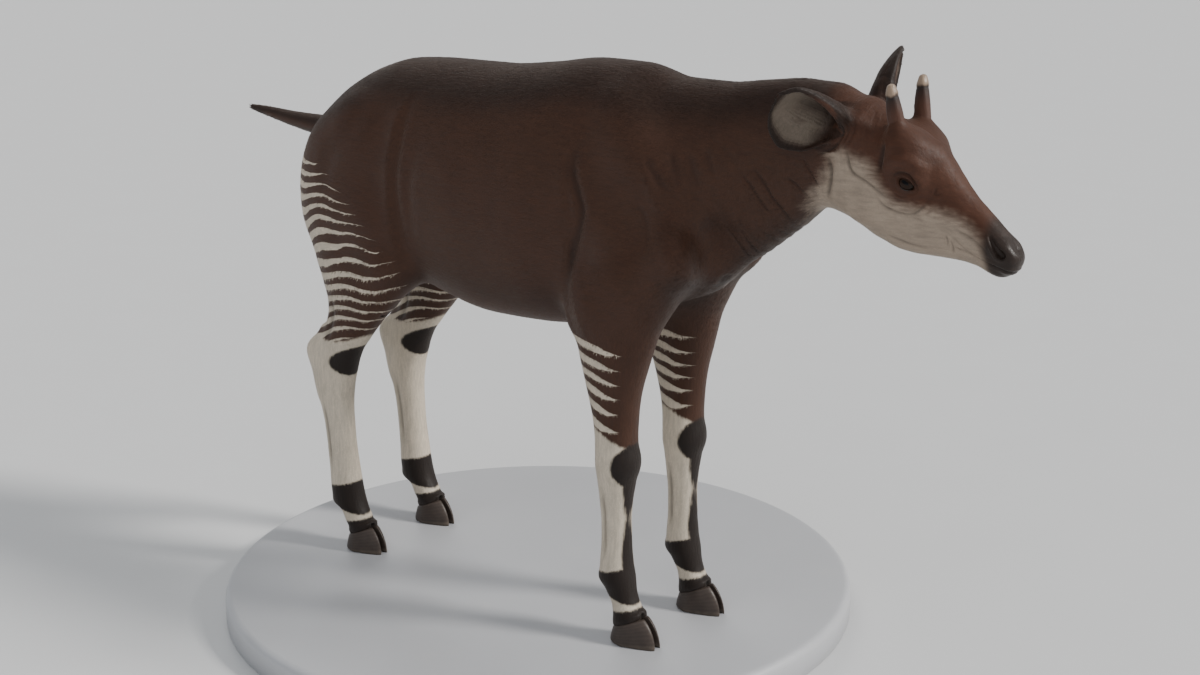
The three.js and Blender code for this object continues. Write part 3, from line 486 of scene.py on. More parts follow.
def eye_axes():
    """The ways forward, up and out of the left eye, in the body frame."""
    forward = np.array([HEAD_COS, 0, -HEAD_SIN])
    forward = forward - forward @ EYE_OUTWARD * EYE_OUTWARD
    forward /= np.linalg.norm(forward)
    up = np.cross(forward, EYE_OUTWARD)
    up *= np.sign(up[2])
    return forward, up


EYE_CENTRE = head_point(*EYE)
EYE_FORWARD, EYE_UP = eye_axes()


def lid_edge(a):
    """Half height of the almond opening at a share of its half length, fuller above than below."""
    return (1 - np.clip(np.abs(a), 0, 1) ** 2.2) ** 0.85


def face_details(d, x, y, z):
    """Lids with an almond opening, nostrils and the flare at the foot of each horn."""
    t, w = head_frame(x, z)
    px, py, pz = x - EYE_CENTRE[0], y - EYE_CENTRE[1], z - EYE_CENTRE[2]
    along = px * EYE_FORWARD[0] + py * EYE_FORWARD[1] + pz * EYE_FORWARD[2]
    high = px * EYE_UP[0] + py * EYE_UP[1] + pz * EYE_UP[2]
    out = px * EYE_OUTWARD[0] + py * EYE_OUTWARD[1] + pz * EYE_OUTWARD[2]
    gap = np.sqrt(px**2 + py**2 + pz**2)
    socket = np.sqrt((along / SOCKET_HALF_LENGTH) ** 2 + (high / SOCKET_HALF_HEIGHT) ** 2) - 1
    socket = np.maximum(socket * SOCKET_HALF_HEIGHT, SOCKET_DEPTH - out)
    d = hollow(d, np.maximum(EYE_RADIUS + 3 - gap, socket), 7)
    d = blend(d, gap - EYE_RADIUS - LID_DEPTH, 5)
    edge = lid_edge(along / (LID_LENGTH / 2)) * LID_HEIGHT / 2
    cut = np.maximum(np.maximum(np.abs(high) - edge, np.abs(along) - LID_LENGTH / 2), 6 - out)
    d = hollow(d, cut, 2.5)
    for (*a, ra), (*b, rb) in zip(NOSTRIL, NOSTRIL[1:]):
        d = hollow(d, limb(t, y, w, a, b, ra, rb), 4)
    beside = np.sqrt(y * y + SLEEVE_PARTING)
    return blend(d, limb(t, beside, w, *SLEEVE_ENDS, *SLEEVE_RADII, flared=True), 26)


# Ears: leaf-shaped cups on a thick rolled root
EARS = {
    "right": dict(root=(1072, -46, 1372), tip=(978, -236, 1474), facing=(0.45, -0.8, -0.35),
                  fullness=(1.6, 0.5)),
    "left": dict(root=(1072, 46, 1385), tip=(1026, 212, 1540), facing=(0.8, 0.5, 0),
                 fullness=(1.1, 0.85)),
}
EAR_HALF_WIDTH = Curve([0, 0.2, 0.4, 0.6, 0.78, 0.92, 1], [26, 43, 67, 76, 68, 45, 9])
EAR_DEPTH = Curve([0, 0.25, 0.55, 0.85, 1], [42, 48, 42, 22, 6])
EAR_WRAP = Curve([0, 0.2, 0.45, 1], [2.7, 2.35, 1.5, 1.1])
EAR_LIFT = Curve([0, 0.3, 0.6, 1], [4.5, 3.25, 2.6, 2.3])
EAR_HALF_THICKNESS = Curve([0, 0.3, 0.6, 1], [5.4, 4.4, 3.9, 3.5])

# The thick roll of each ear's upper rim: share of the ear's length and radius
EAR_ROLL = np.array([(0.04, 14), (0.12, 19.5), (0.22, 18), (0.36, 13),
                     (0.52, 9), (0.7, 6.4), (0.86, 4.6), (0.97, 3.4)])


class Ear:
    """One ear's place, its middle surface and the distance to it."""

    ROWS, COLUMNS = 44, 36
    REACH = 34
    MARGIN = 20

    def __init__(self, name):
        ear = EARS[name]
        side = SIDES[name]
        self.root = np.array(ear["root"], float)
        along = np.array(ear["tip"], float) - self.root
        self.length = np.linalg.norm(along)
        self.along = along / self.length
        facing = np.array(ear["facing"], float)
        facing = facing - facing @ self.along * self.along
        self.facing = facing / np.linalg.norm(facing)
        self.across = -side * np.cross(self.along, self.facing)
        self.fullness = ear["fullness"]
        s, c = np.meshgrid(np.linspace(0, 1, self.ROWS), np.linspace(-1, 1, self.COLUMNS), indexing="ij")
        points = self.point(s, 0.97 * c, EAR_LIFT(s)).reshape(-1, 3)
        self.low, self.high = points.min(0) - self.REACH, points.max(0) + self.REACH
        corners = [r * self.COLUMNS + i for r in range(self.ROWS - 1) for i in range(self.COLUMNS - 1)]
        faces = [(i, i + 1, i + self.COLUMNS + 1, i + self.COLUMNS) for i in corners]
        self.tree = BVHTree.FromPolygons([tuple(p) for p in points], faces)
        self.roll = self.point(EAR_ROLL[:, 0], np.ones(len(EAR_ROLL)), EAR_ROLL[:, 1])
        # 1 where the sheet's faces look into the hollow, and -1 where they look out of its back
        middle = self.point(np.array([0.5]), np.array([0.0]), np.array([0.0]))[0]
        normal = self.tree.find_nearest(tuple(middle + self.MARGIN * self.facing))[1]
        self.turned = 1 if normal.dot(Vector(self.facing)) > 0 else -1

    def point(self, s, c, lift):
        """Points of the cup at a share of its length and from rim to rim, lifted off its outside."""
        full = EAR_WRAP(s)
        angle = full * c
        fade = np.minimum(s / 0.3, 1) * (1 - 0.5 * np.maximum((s - 0.6) / 0.4, 0))
        fuller = np.where(c > 0, self.fullness[1], self.fullness[0])
        lean = 1 + (fuller - 1) * fade * np.abs(c)
        spread = (EAR_HALF_WIDTH(s) - lift) / np.where(full > math.pi / 2, 1, np.sin(full)) * lean
        deep = (EAR_DEPTH(s) - lift) / (1 - np.cos(full))
        place = self.root + (s * self.length)[..., None] * self.along
        place = place + (spread * np.sin(angle))[..., None] * self.across
        return place - (deep * (np.cos(angle) - np.cos(full)))[..., None] * self.facing

    def around(self, points):
        """Which points lie in the box round the ear."""
        return ((points > self.low + self.MARGIN) & (points < self.high - self.MARGIN)).all(1)

    def share(self, points):
        """How far along the ear points lie, from 0 at its root to 1 at its tip."""
        return (points - self.root) @ self.along / self.length

    def distance(self, points):
        """Distance to the ear's thick sheet, cut off at REACH."""
        found = np.full(len(points), float(self.REACH))
        for i, p in enumerate(points.tolist()):
            near = self.tree.find_nearest(p, self.REACH)[3]
            if near is not None:
                found[i] = near
        d = found - EAR_HALF_THICKNESS(np.clip(self.share(points), 0, 1))
        return blend(d, chain(*points.T, self.roll, EAR_ROLL[:, 1]), 9)

    def locate(self, points):
        """Shares from root to tip and from rim to rim, 1 on the hollow face, and the distance."""
        place_on = np.tile([0.0, 0.0, 0.0, self.REACH], (len(points), 1))
        for i, p in enumerate(points.tolist()):
            spot, normal, face, gap = self.tree.find_nearest(p, self.REACH)
            if face is not None:
                row, column = divmod(face, self.COLUMNS - 1)
                hollow_side = (Vector(p) - spot).dot(normal) * self.turned > 0
                along = (row + 0.5) / (self.ROWS - 1)
                place_on[i] = along, (2 * column + 1) / (self.COLUMNS - 1) - 1, hollow_side, gap
        return place_on.T


EAR_SHEETS = {name: Ear(name) for name in EARS}
FOREQUARTERS_FROM, HINDQUARTERS_TO, HEAD_FROM, TAIL_TO = 120, -120, 830, -690


def body(x, y, z):
    """The whole animal's surface under the coat's outline: negative inside. All in millimetres."""
    side = np.abs(y)
    d = trunk(x, y, z)
    near = x > FOREQUARTERS_FROM
    if near.any():
        px, py, ps, pz = x[near], y[near], side[near], z[near]
        part = blend(d[near], muscle(px, ps, pz, (580, 0, 1048), (112, 92, 98), 0.6), 80)
        part = blend(part, shoulder(px, ps, pz), 46)
        part = hollow(part, muscle(px, ps, pz, (728, 112, 1056), (34, 25, 50), -0.3), 88)
        d[near] = blend(part, foreleg(px - swing(py, pz, FORE_SWING), ps, pz), 60)
    near = x < HINDQUARTERS_TO
    if near.any():
        px, py, ps, pz = x[near], y[near], side[near], z[near]
        part = blend(d[near], haunch(px, ps, pz), 60)
        d[near] = blend(part, hindleg(px - swing(py, pz, HIND_SWING), ps, pz), 70)
    near = x < TAIL_TO
    if near.any():
        d[near] = blend(d[near], chain(x[near], y[near], z[near], TAIL_POINTS, TAIL_RADII), 22)
    near = x > HEAD_FROM
    if near.any():
        px, ps, pz = x[near], side[near], z[near]
        d[near] = face_details(blend(d[near], skull(px, ps, pz), 50), px, ps, pz)
    for ear in EAR_SHEETS.values():
        near = np.ones(len(x), bool)
        for axis, value in enumerate((x, y, z)):
            near &= (value > ear.low[axis]) & (value < ear.high[axis])
        if near.any():
            points = np.stack([x[near], y[near], z[near]], 1).astype(float)
            d[near] = blend(d[near], ear.distance(points).astype(np.float32), 12)
    return d


# The skin: a net of faces laid over the surface, cell by cell


def graded(start, end, spacing):
    """Places along an axis whose spacing follows a curve."""
    places = [start]
    while places[-1] < end:
        places.append(places[-1] + float(spacing(np.float32(places[-1]))))
    return np.array(places, np.float32)


class SurfaceNet:
    """Faces over the zero surface of a field on a graded grid of cells, made block by block."""

    BLOCK = 8
    CORNERS = [(i, j, k) for i in (0, 1) for j in (0, 1) for k in (0, 1)]
    MARGIN = 1.35

    def __init__(self, field, axes, offset):
        self.field = lambda x, y, z: field(x, y, z) + offset
        spare = np.arange(1, self.BLOCK + 1)
        self.axes = [np.append(a, a[-1] + spare * (a[-1] - a[-2])).astype(np.float32) for a in axes]
        self.count = [(len(a) - 1) // self.BLOCK for a in self.axes]
        cells, values = self.sample()
        self.points, self.faces = self.lay(cells, values)

    def sample(self):
        """Field values at the corners of every cell in the blocks near the surface."""
        size = self.BLOCK
        edges = [a[: n * size + 1 : size] for a, n in zip(self.axes, self.count)]
        middles = [(e[1:] + e[:-1]) / 2 for e in edges]
        halves = [(e[1:] - e[:-1]) / 2 for e in edges]
        centre = np.stack(np.meshgrid(*middles, indexing="ij"), -1).reshape(-1, 3)
        half = np.stack(np.meshgrid(*halves, indexing="ij"), -1).reshape(-1, 3)
        block = np.stack(np.meshgrid(*[np.arange(n) for n in self.count], indexing="ij"), -1).reshape(-1, 3)
        distance = self.field(*centre.T)
        block = block[np.abs(distance) < self.MARGIN * np.linalg.norm(half, axis=1)]
        local = np.arange(size + 1)
        found_cells, found_values = [], []
        group = 600
        for start in range(0, len(block), group):
            some = block[start : start + group] * size
            index = [some[:, a, None] + local for a in range(3)]
            x = np.broadcast_to(self.axes[0][index[0]][:, :, None, None], (len(some),) + (size + 1,) * 3)
            y = np.broadcast_to(self.axes[1][index[1]][:, None, :, None], x.shape)
            z = np.broadcast_to(self.axes[2][index[2]][:, None, None, :], x.shape)
            value = self.field(x.ravel(), y.ravel(), z.ravel()).reshape(x.shape)
            inside = value < 0
            total = sum(inside[:, i : i + size, j : j + size, k : k + size].astype(np.int8)
                        for i, j, k in self.CORNERS)
            b, i, j, k = np.nonzero((total > 0) & (total < 8))
            corner = np.stack([value[b, i + di, j + dj, k + dk] for di, dj, dk in self.CORNERS], 1)
            found_cells.append(some[b] + np.stack([i, j, k], 1))
            found_values.append(corner)
        return np.concatenate(found_cells), np.concatenate(found_values)

    def lay(self, cells, values):
        """One point in each cell that the surface crosses, and one face round each crossed edge."""
        corners = np.array(self.CORNERS)
        total = np.zeros((len(cells), 3))
        crossings = np.zeros(len(cells))
        for a in range(8):
            for b in range(a + 1, 8):
                if np.abs(corners[a] - corners[b]).sum() != 1:
                    continue
                va, vb = values[:, a], values[:, b]
                cross = (va < 0) != (vb < 0)
                t = np.where(cross, va / np.where(cross, va - vb, 1), 0)[:, None]
                total += np.where(cross[:, None], corners[a] + t * (corners[b] - corners[a]), 0)
                crossings += cross
        place = total / crossings[:, None]
        points = np.empty((len(cells), 3))
        for axis in range(3):
            low = self.axes[axis][cells[:, axis]]
            high = self.axes[axis][cells[:, axis] + 1]
            points[:, axis] = low + place[:, axis] * (high - low)
        stride = np.array([len(self.axes[1]) * len(self.axes[2]), len(self.axes[2]), 1], np.int64)
        key = cells.astype(np.int64) @ stride
        order = np.argsort(key)
        ranked = key[order]
        faces = []
        for axis in range(3):
            first, second = [(1, 2), (2, 0), (0, 1)][axis]
            start = values[:, 0] < 0
            step = np.zeros(3, int)
            step[axis] = 1
            end = values[:, self.CORNERS.index(tuple(step))] < 0
            crossed = np.nonzero(start != end)[0]
            round_edge = []
            for da, db in ((0, 0), (1, 0), (1, 1), (0, 1)):
                wanted = key[crossed] - da * stride[first] - db * stride[second]
                rank = np.clip(np.searchsorted(ranked, wanted), 0, len(ranked) - 1)
                round_edge.append(np.where(ranked[rank] == wanted, order[rank], -1))
            quad = np.stack(round_edge, 1)
            flip = start[crossed]
            quad[~flip] = quad[~flip][:, ::-1]
            faces.append(quad[(quad >= 0).all(1)])
        return points, np.concatenate(faces)


def gradient(field, points, h=0.5):
    """The field's slope at points."""
    slope = np.empty_like(points)
    for axis in range(3):
        shift = np.zeros(3)
        shift[axis] = h
        ahead = field(*(points + shift).astype(np.float32).T)
        behind = field(*(points - shift).astype(np.float32).T)
        slope[:, axis] = (ahead - behind) / (2 * h)
    return slope


def settle(field, points, longest=2.5):
    """Moves points onto the zero surface, and returns them with their outward normals."""
    slope = gradient(field, points)
    size = np.maximum(np.linalg.norm(slope, axis=1), 0.2)[:, None]
    for _ in range(3):
        d = field(*points.astype(np.float32).T)[:, None]
        points = points - np.clip(d / size, -longest, longest) * slope / size
    return points, slope / size


# Folds of the skin, each drawn as a line in side view: half width and depth of the crease, then
# height and half width of the fullness on its left as the line runs, and its points. A depth
# below zero raises a ridge.
FACE_FOLDS = [
    (2.6, 2.4, 1.4, 3.5, [(176, 24), (181, 46), (196, 59), (212, 60), (229, 48), (246, 34)]),
    (2.4, 1.6, 0.9, 3.0, [(180, 12), (196, 6), (214, 7), (232, 16)]),
    (2.2, 1.2, 0.5, 2.5, [(188, 2), (208, -3), (230, 4)]),
    (9.0, -3.4, 0.0, 1.0, [(146, 28), (153, 56), (173, 77), (195, 87), (220, 86), (245, 70)]),
    (4.0, 3.4, 1.8, 7.0, [(49, 32), (58, 12), (85, -11), (124, -10), (156, -13), (186, -17)]),
    (3.4, 3.4, 2.0, 6.0, [(151, -26), (189, -36), (225, -31), (251, -17), (263, 3), (272, 40)]),
    (3.2, 2.0, 1.0, 5.0, [(191, -47), (228, -38), (260, -22), (283, -18)]),
    (2.8, 1.8, 1.0, 4.0, [(268, 62), (272, 48), (286, 56)]),
    (5.5, 4.6, 3.0, 14.0, [(46, -120), (45, -75), (34, -40), (10, -14)]),
    (7.0, 4.5, 1.5, 10.0, [(117, 92), (124, 70), (131, 46), (140, 18)]),
    (3.0, 2.8, 1.4, 4.0, [(-10, 80), (20, 74), (28, 52), (22, 22), (9, -6)]),
    (2.8, 2.4, 1.2, 4.0, [(6, 88), (31, 80), (37, 52), (30, 19)]),
    (2.6, 2.0, 1.0, 4.0, [(18, 92), (44, 80), (48, 50), (40, 22)]),
    (4.4, 3.2, 1.6, 8.0, [(-20, -31), (9, 0), (27, 30)]),
    (4.4, 2.2, 1.2, 8.0, [(206, -102), (246, -95), (282, -86), (314, -71)]),
    (3.2, 2.4, 1.4, 5.0, [(340, -12), (374, -21), (401, -22), (437, -13), (463, -4)]),
    (3.6, 2.2, 1.2, 6.0, [(337, 2), (361, 4), (392, 6), (422, 2), (447, -6)]),
    (2.8, 2.0, 1.1, 4.0, [(346, -24), (357, -31), (364, -42), (362, -52)]),
    (2.6, 1.6, 0.9, 4.0, [(334, -20), (345, -30), (350, -44)]),
    (3.0, -2.2, 0.0, 1.0, [(412, 34), (420, 25), (440, 12), (458, 2), (472, 2)]),
]
BODY_FOLDS = [
    (17.0, 8.0, 7.0, 45.0, [(-252, 885), (-270, 930), (-277, 981), (-282, 1051), (-287, 1120), (-287, 1175),
                            (-278, 1243), (-272, 1296), (-262, 1345), (-248, 1400)]),
    (22.0, 4.0, 2.0, 30.0, [(-214, 944), (-231, 1001), (-229, 1072), (-228, 1141), (-213, 1196),
                            (-171, 1266)]),
    (14.0, 7.0, 5.0, 36.0, [(400, 1335), (357, 1295), (344, 1263), (348, 1226), (362, 1185), (378, 1143),
                            (372, 1102), (349, 1037), (330, 978), (314, 928), (296, 876)]),
    (11.0, 2.6, 1.5, 14.0, [(341, 1108), (334, 1163), (325, 1224), (317, 1290)]),
    (9.0, 2.6, 1.2, 14.0, [(349, 1076), (335, 1023), (322, 969)]),
    (6.0, 4.0, 2.0, 10.0, [(372, 792), (392, 789), (412, 790), (430, 797)]),
    (12.0, 3.0, 1.5, 18.0, [(550, 1290), (583, 1241), (605, 1200)]),
    (12.0, 3.0, 1.5, 18.0, [(604, 1318), (624, 1261), (641, 1204)]),
    (11.0, 3.0, 1.5, 16.0, [(694, 1320), (707, 1288), (719, 1250)]),
    (11.0, 3.0, 1.5, 16.0, [(648, 1310), (668, 1262), (686, 1214)]),
    (14.0, 6.0, 0.0, 1.0, [(-566, 782), (-563, 735), (-590, 668), (-625, 640)]),
    (8.0, 2.2, 0.0, 1.0, [(528, 1186), (560, 1128), (566, 1060)]),
    (16.0, -4.0, 0.0, 1.0, [(555, 1260), (580, 1190), (600, 1150)]),
    (40.0, 5.0, 0.0, 1.0, [(-420, 1330), (-470, 1270), (-540, 1200), (-600, 1100)]),
]
NECK_FOLDS = [
    (4.6, 3.6, 2.0, 8.0, [(778, 1276), (816, 1233), (839, 1196), (862, 1168)]),
    (5.4, 4.2, 2.2, 9.0, [(806, 1292), (842, 1254), (865, 1215), (891, 1175), (899, 1136)]),
    (4.6, 3.2, 1.8, 7.0, [(902, 1268), (932, 1246), (956, 1212)]),
    (4.2, 3.2, 1.8, 7.0, [(944, 1322), (970, 1278), (992, 1240)]),
    (6.0, 3.4, 2.0, 9.0, [(770, 1136), (789, 1084), (796, 1050)]),
    (6.0, 3.4, 2.0, 9.0, [(731, 1136), (763, 1078), (775, 1034)]),
    (7.0, 4.0, 2.0, 12.0, [(660, 955), (680, 966), (700, 990), (716, 1000)]),
]
# Body folds wider than this are soft hollows that get no painted crease shade, and the others get a faint one
BROAD = 15
FAINT = 0.6

# How many times wider and deeper than listed the folds of the face are made
FACE_FULLNESS = 1.3, 1.35, 1.4, 1.2


def smooth_line(points, steps=6):
    """Points along a smooth line through a few given ones."""
    p = np.array([points[0], *points, points[-1]], float)
    t = np.linspace(0, 1, steps, endpoint=False)[:, None]
    line = [0.5 * (2 * b + (c - a) * t + (2 * a - 5 * b + 4 * c - d) * t**2 + (3 * b - a - 3 * c + d) * t**3)
            for a, b, c, d in zip(p, p[1:], p[2:], p[3:])]
    return np.concatenate([*line, p[-1:]])


def fold_height(u, v, fold):
    """How far one fold lifts the skin at points of the side view."""
    width, depth, lip, lip_width, points = fold
    line = smooth_line(points)
    reach = 2.5 * width + 2.5 * lip_width
    height = np.zeros(len(u))
    low, high = line.min(0) - reach, line.max(0) + reach
    near = np.nonzero((u > low[0]) & (u < high[0]) & (v > low[1]) & (v < high[1]))[0]
    if not len(near):
        return height
    q = np.stack([u[near], v[near]], 1)
    best = np.full(len(near), 1e9)
    signed = np.zeros(len(near))
    share = np.zeros(len(near))
    for i, (a, b) in enumerate(zip(line, line[1:])):
        d = b - a
        t = np.clip(((q - a) @ d) / max(d @ d, 1e-9), 0, 1)
        away = q - a - t[:, None] * d
        gap = np.linalg.norm(away, axis=1)
        closer = gap < best
        best[closer] = gap[closer]
        left = (d[0] * away[:, 1] - d[1] * away[:, 0]) / max(np.linalg.norm(d), 1e-9)
        signed[closer] = left[closer]
        share[closer] = ((i + t) / (len(line) - 1))[closer]
    fade = step_between(share, 0, 0.3) * step_between(1 - share, 0, 0.3)
    crease = depth * (0.4 * mound(best, 2.4 * width) - 1.2 * mound(best, width))
    full = lip * mound(best, lip_width) * step_between(signed, -0.6 * width, 2.2 * width)
    height[near] = (crease + full) * fade
    return height


MOUTH_CORNER, MOUTH_FRONT = 362, 500


def lip_line(t):
    """Height of the line between the lips."""
    return -32 + 20 * (t - MOUTH_CORNER - 4) / (MOUTH_FRONT - MOUTH_CORNER - 4)


def wrinkle(x, z, spacing, direction, seed):
    """Irregular parallel folds across a direction: round ridges with narrow furrows, up to 1 high."""
    c, s = math.cos(direction), math.sin(direction)
    across, along = c * x + s * z, c * z - s * x
    warp = 0.55 * np.sin(along / 67 + seed) + 0.35 * np.sin(along / 29 + across / 53 + 2 * seed)
    ridge = np.abs(np.sin(math.pi * (across / spacing + warp)))
    patchy = np.sin(across / 71 + 3 * seed) * np.sin(along / 58 - seed) + np.sin(along / 33 + across / 44)
    return ((ridge**2 + 0.05) ** 0.3 - 0.85) * step_between(patchy, -0.6, 1.2)


def loose_skin(x, y, z):
    """Height of the loose folds of the neck, throat and breast."""
    side = np.abs(y)
    neck = step_between(x, 690, 800) * step_between(x, 1010, 950) * step_between(z, 1320, 1210)
    plate = step_between(x, 520, 600) * step_between(x, 830, 740) * step_between(z, 1390, 1310)
    plate = plate * step_between(z, 1130, 1210) * step_between(side, 60, 100)
    height = 3.4 * neck * wrinkle(x, z, 38, 0.52, 0.4)
    return height + 2.2 * plate * wrinkle(x, z, 52, 0.25, 2.6)


def face_skin(t, w):
    """Height of the face's small lumps and of its fine wrinkles by the mouth, eye and ear."""
    lumps = np.sin(t / 17 + 0.6) * np.sin(w / 14 + t / 60)
    lumps = lumps + 0.6 * np.sin(t / 9 - w / 13) * np.sin(w / 8 + 1.7)
    lips = step_between(t, 318, 345) * step_between(t, 446, 418) * step_between(np.abs(w + 2), 34, 20)
    under_eye = step_between(t, 140, 175) * step_between(t, 285, 250) * step_between(np.abs(w + 14), 30, 16)
    by_ear = step_between(t, 8, 34) * step_between(t, 122, 96) * step_between(np.abs(w - 42), 56, 30)
    height = 0.55 * lumps + 1.3 * lips * wrinkle(t, w, 10, 1.75, 1.3)
    height = height + 0.6 * under_eye * wrinkle(t, w, 12, 1.15, 0.7)
    return height + 1.5 * by_ear * wrinkle(t, w, 13, 0.35, 2.1)


def ear_ridges(points):
    """Height of the soft ridges that run up the hollow of each ear."""
    height = np.zeros(len(points))
    for ear in EAR_SHEETS.values():
        near = np.nonzero(ear.around(points))[0]
        s, c, hollow_side, gap = ear.locate(points[near])
        inside = hollow_side * step_between(gap, 9, 6)
        inside = inside * step_between(s, 0.1, 0.24) * step_between(s, 0.86, 0.6)
        ridge = 6 * mound(c + 0.28 + 0.25 * s, 0.10) + 5 * mound(c - 0.22, 0.09)
        ridge = ridge + 3.5 * mound(c - 0.62 + 0.2 * s, 0.08) - 2 * mound(c + 0.02, 0.08)
        height[near] = inside * ridge * (1 - 0.5 * s)
    return height


def toe_cleft(x, y, z):
    """Depth of the notch between the two claws, in front and behind."""
    depth = np.zeros(len(x))
    for name, curves, left in (("foreleg", FORELEG, FORE_SWING), ("hindleg", HINDLEG, HIND_SWING)):
        along = x - swing(y, z, left) - HOOF_X[name]
        low = step_between(coronet(x, z, name), 46, 4) * ((x < 0) == (name == "hindleg"))
        ends = step_between(np.abs(along + 4), 14, 34)
        depth += 9 * low * ends * mound(np.abs(y) - curves[2](60.0), 6)
    return depth


def skin_relief(points, normals):
    """Height of the folds, tendons and lips at each point of the skin, and of its broad hollows alone."""
    x, y, z = points.T
    t, w = head_frame(x, z)
    on_head = step_between(x, 940, 985)
    sideways = step_between(np.abs(normals[:, 1]), 0.12, 0.4)
    height, hollows = np.zeros((2, len(x)))
    for fold in FACE_FOLDS:
        full = *(by * size for by, size in zip(FACE_FULLNESS, fold)), fold[-1]
        height += on_head * sideways * fold_height(t, w, full)
    height += on_head * sideways * face_skin(t, w)
    height *= step_between(np.abs(y), 118, 100)
    for fold in BODY_FOLDS:
        lift = (1 - on_head) * sideways * fold_height(x, z, fold)
        height += lift
        hollows += lift * (1 if fold[0] > BROAD else 1 - FAINT)
    for fold in NECK_FOLDS:
        height += fold_height(x, z, fold) * step_between(np.abs(y), 118, 100)
    height += loose_skin(x, y, z) * step_between(np.abs(y), 190, 150)
    for curves, back, low, high in ((FORELEG, 13, 215, 430), (HINDLEG, 14, 225, 470)):
        levels = np.linspace(low, high, 5)
        tendon = [(float(curves[0](level)) - back, level) for level in levels]
        height += sideways * fold_height(x, z, (9.0, 4.5, 0.0, 1.0, tendon))
    height += ear_ridges(points)
    height -= toe_cleft(x, y, z) * step_between(np.abs(normals[:, 2]), 0.85, 0.5)
    mouth = step_between(t, MOUTH_CORNER - 6, MOUTH_CORNER + 14) * on_head
    away = w - lip_line(t)
    height += mouth * (-2.6 * mound(away, 2))
    height += mouth * (1.3 * mound(away - 6, 4) + 1.0 * mound(away + 6, 4))
    return height, hollows


# Markings of the coat, worked out from the place on the body


HAUNCH_BACK = Curve([560, 640, 700, 800, 900, 1000, 1100, 1250],
                    [-705, -690, -662, -648, -690, -752, -792, -790])
STRIPE_REACH = Curve([560, 640, 700, 800, 900, 1000, 1080, 1140, 1190, 1230],
                     [140, 190, 300, 420, 480, 455, 380, 270, 140, 20])
HIND_STRIPES_TOP, FORE_STRIPES_TOP = 1205, 868
UNSTRIPED = 0.4
OUTSIDE = -60
CHEEK_LINE = Curve([-90, -40, 30, 100, 150, 204, 250, 300, 350, 390, 425, 470],
                   [-90, -30, 14, 22, 6, -12, -2, 18, 26, 20, 4, -30])


def leg_forward(x, y, z, curves, left):
    """Where a point lies on its leg, from -1 at the back to 1 at the front."""
    at = np.clip(z, 60, 930)
    return (x - swing(y, z, left) - curves[0](at)) / curves[1](at)


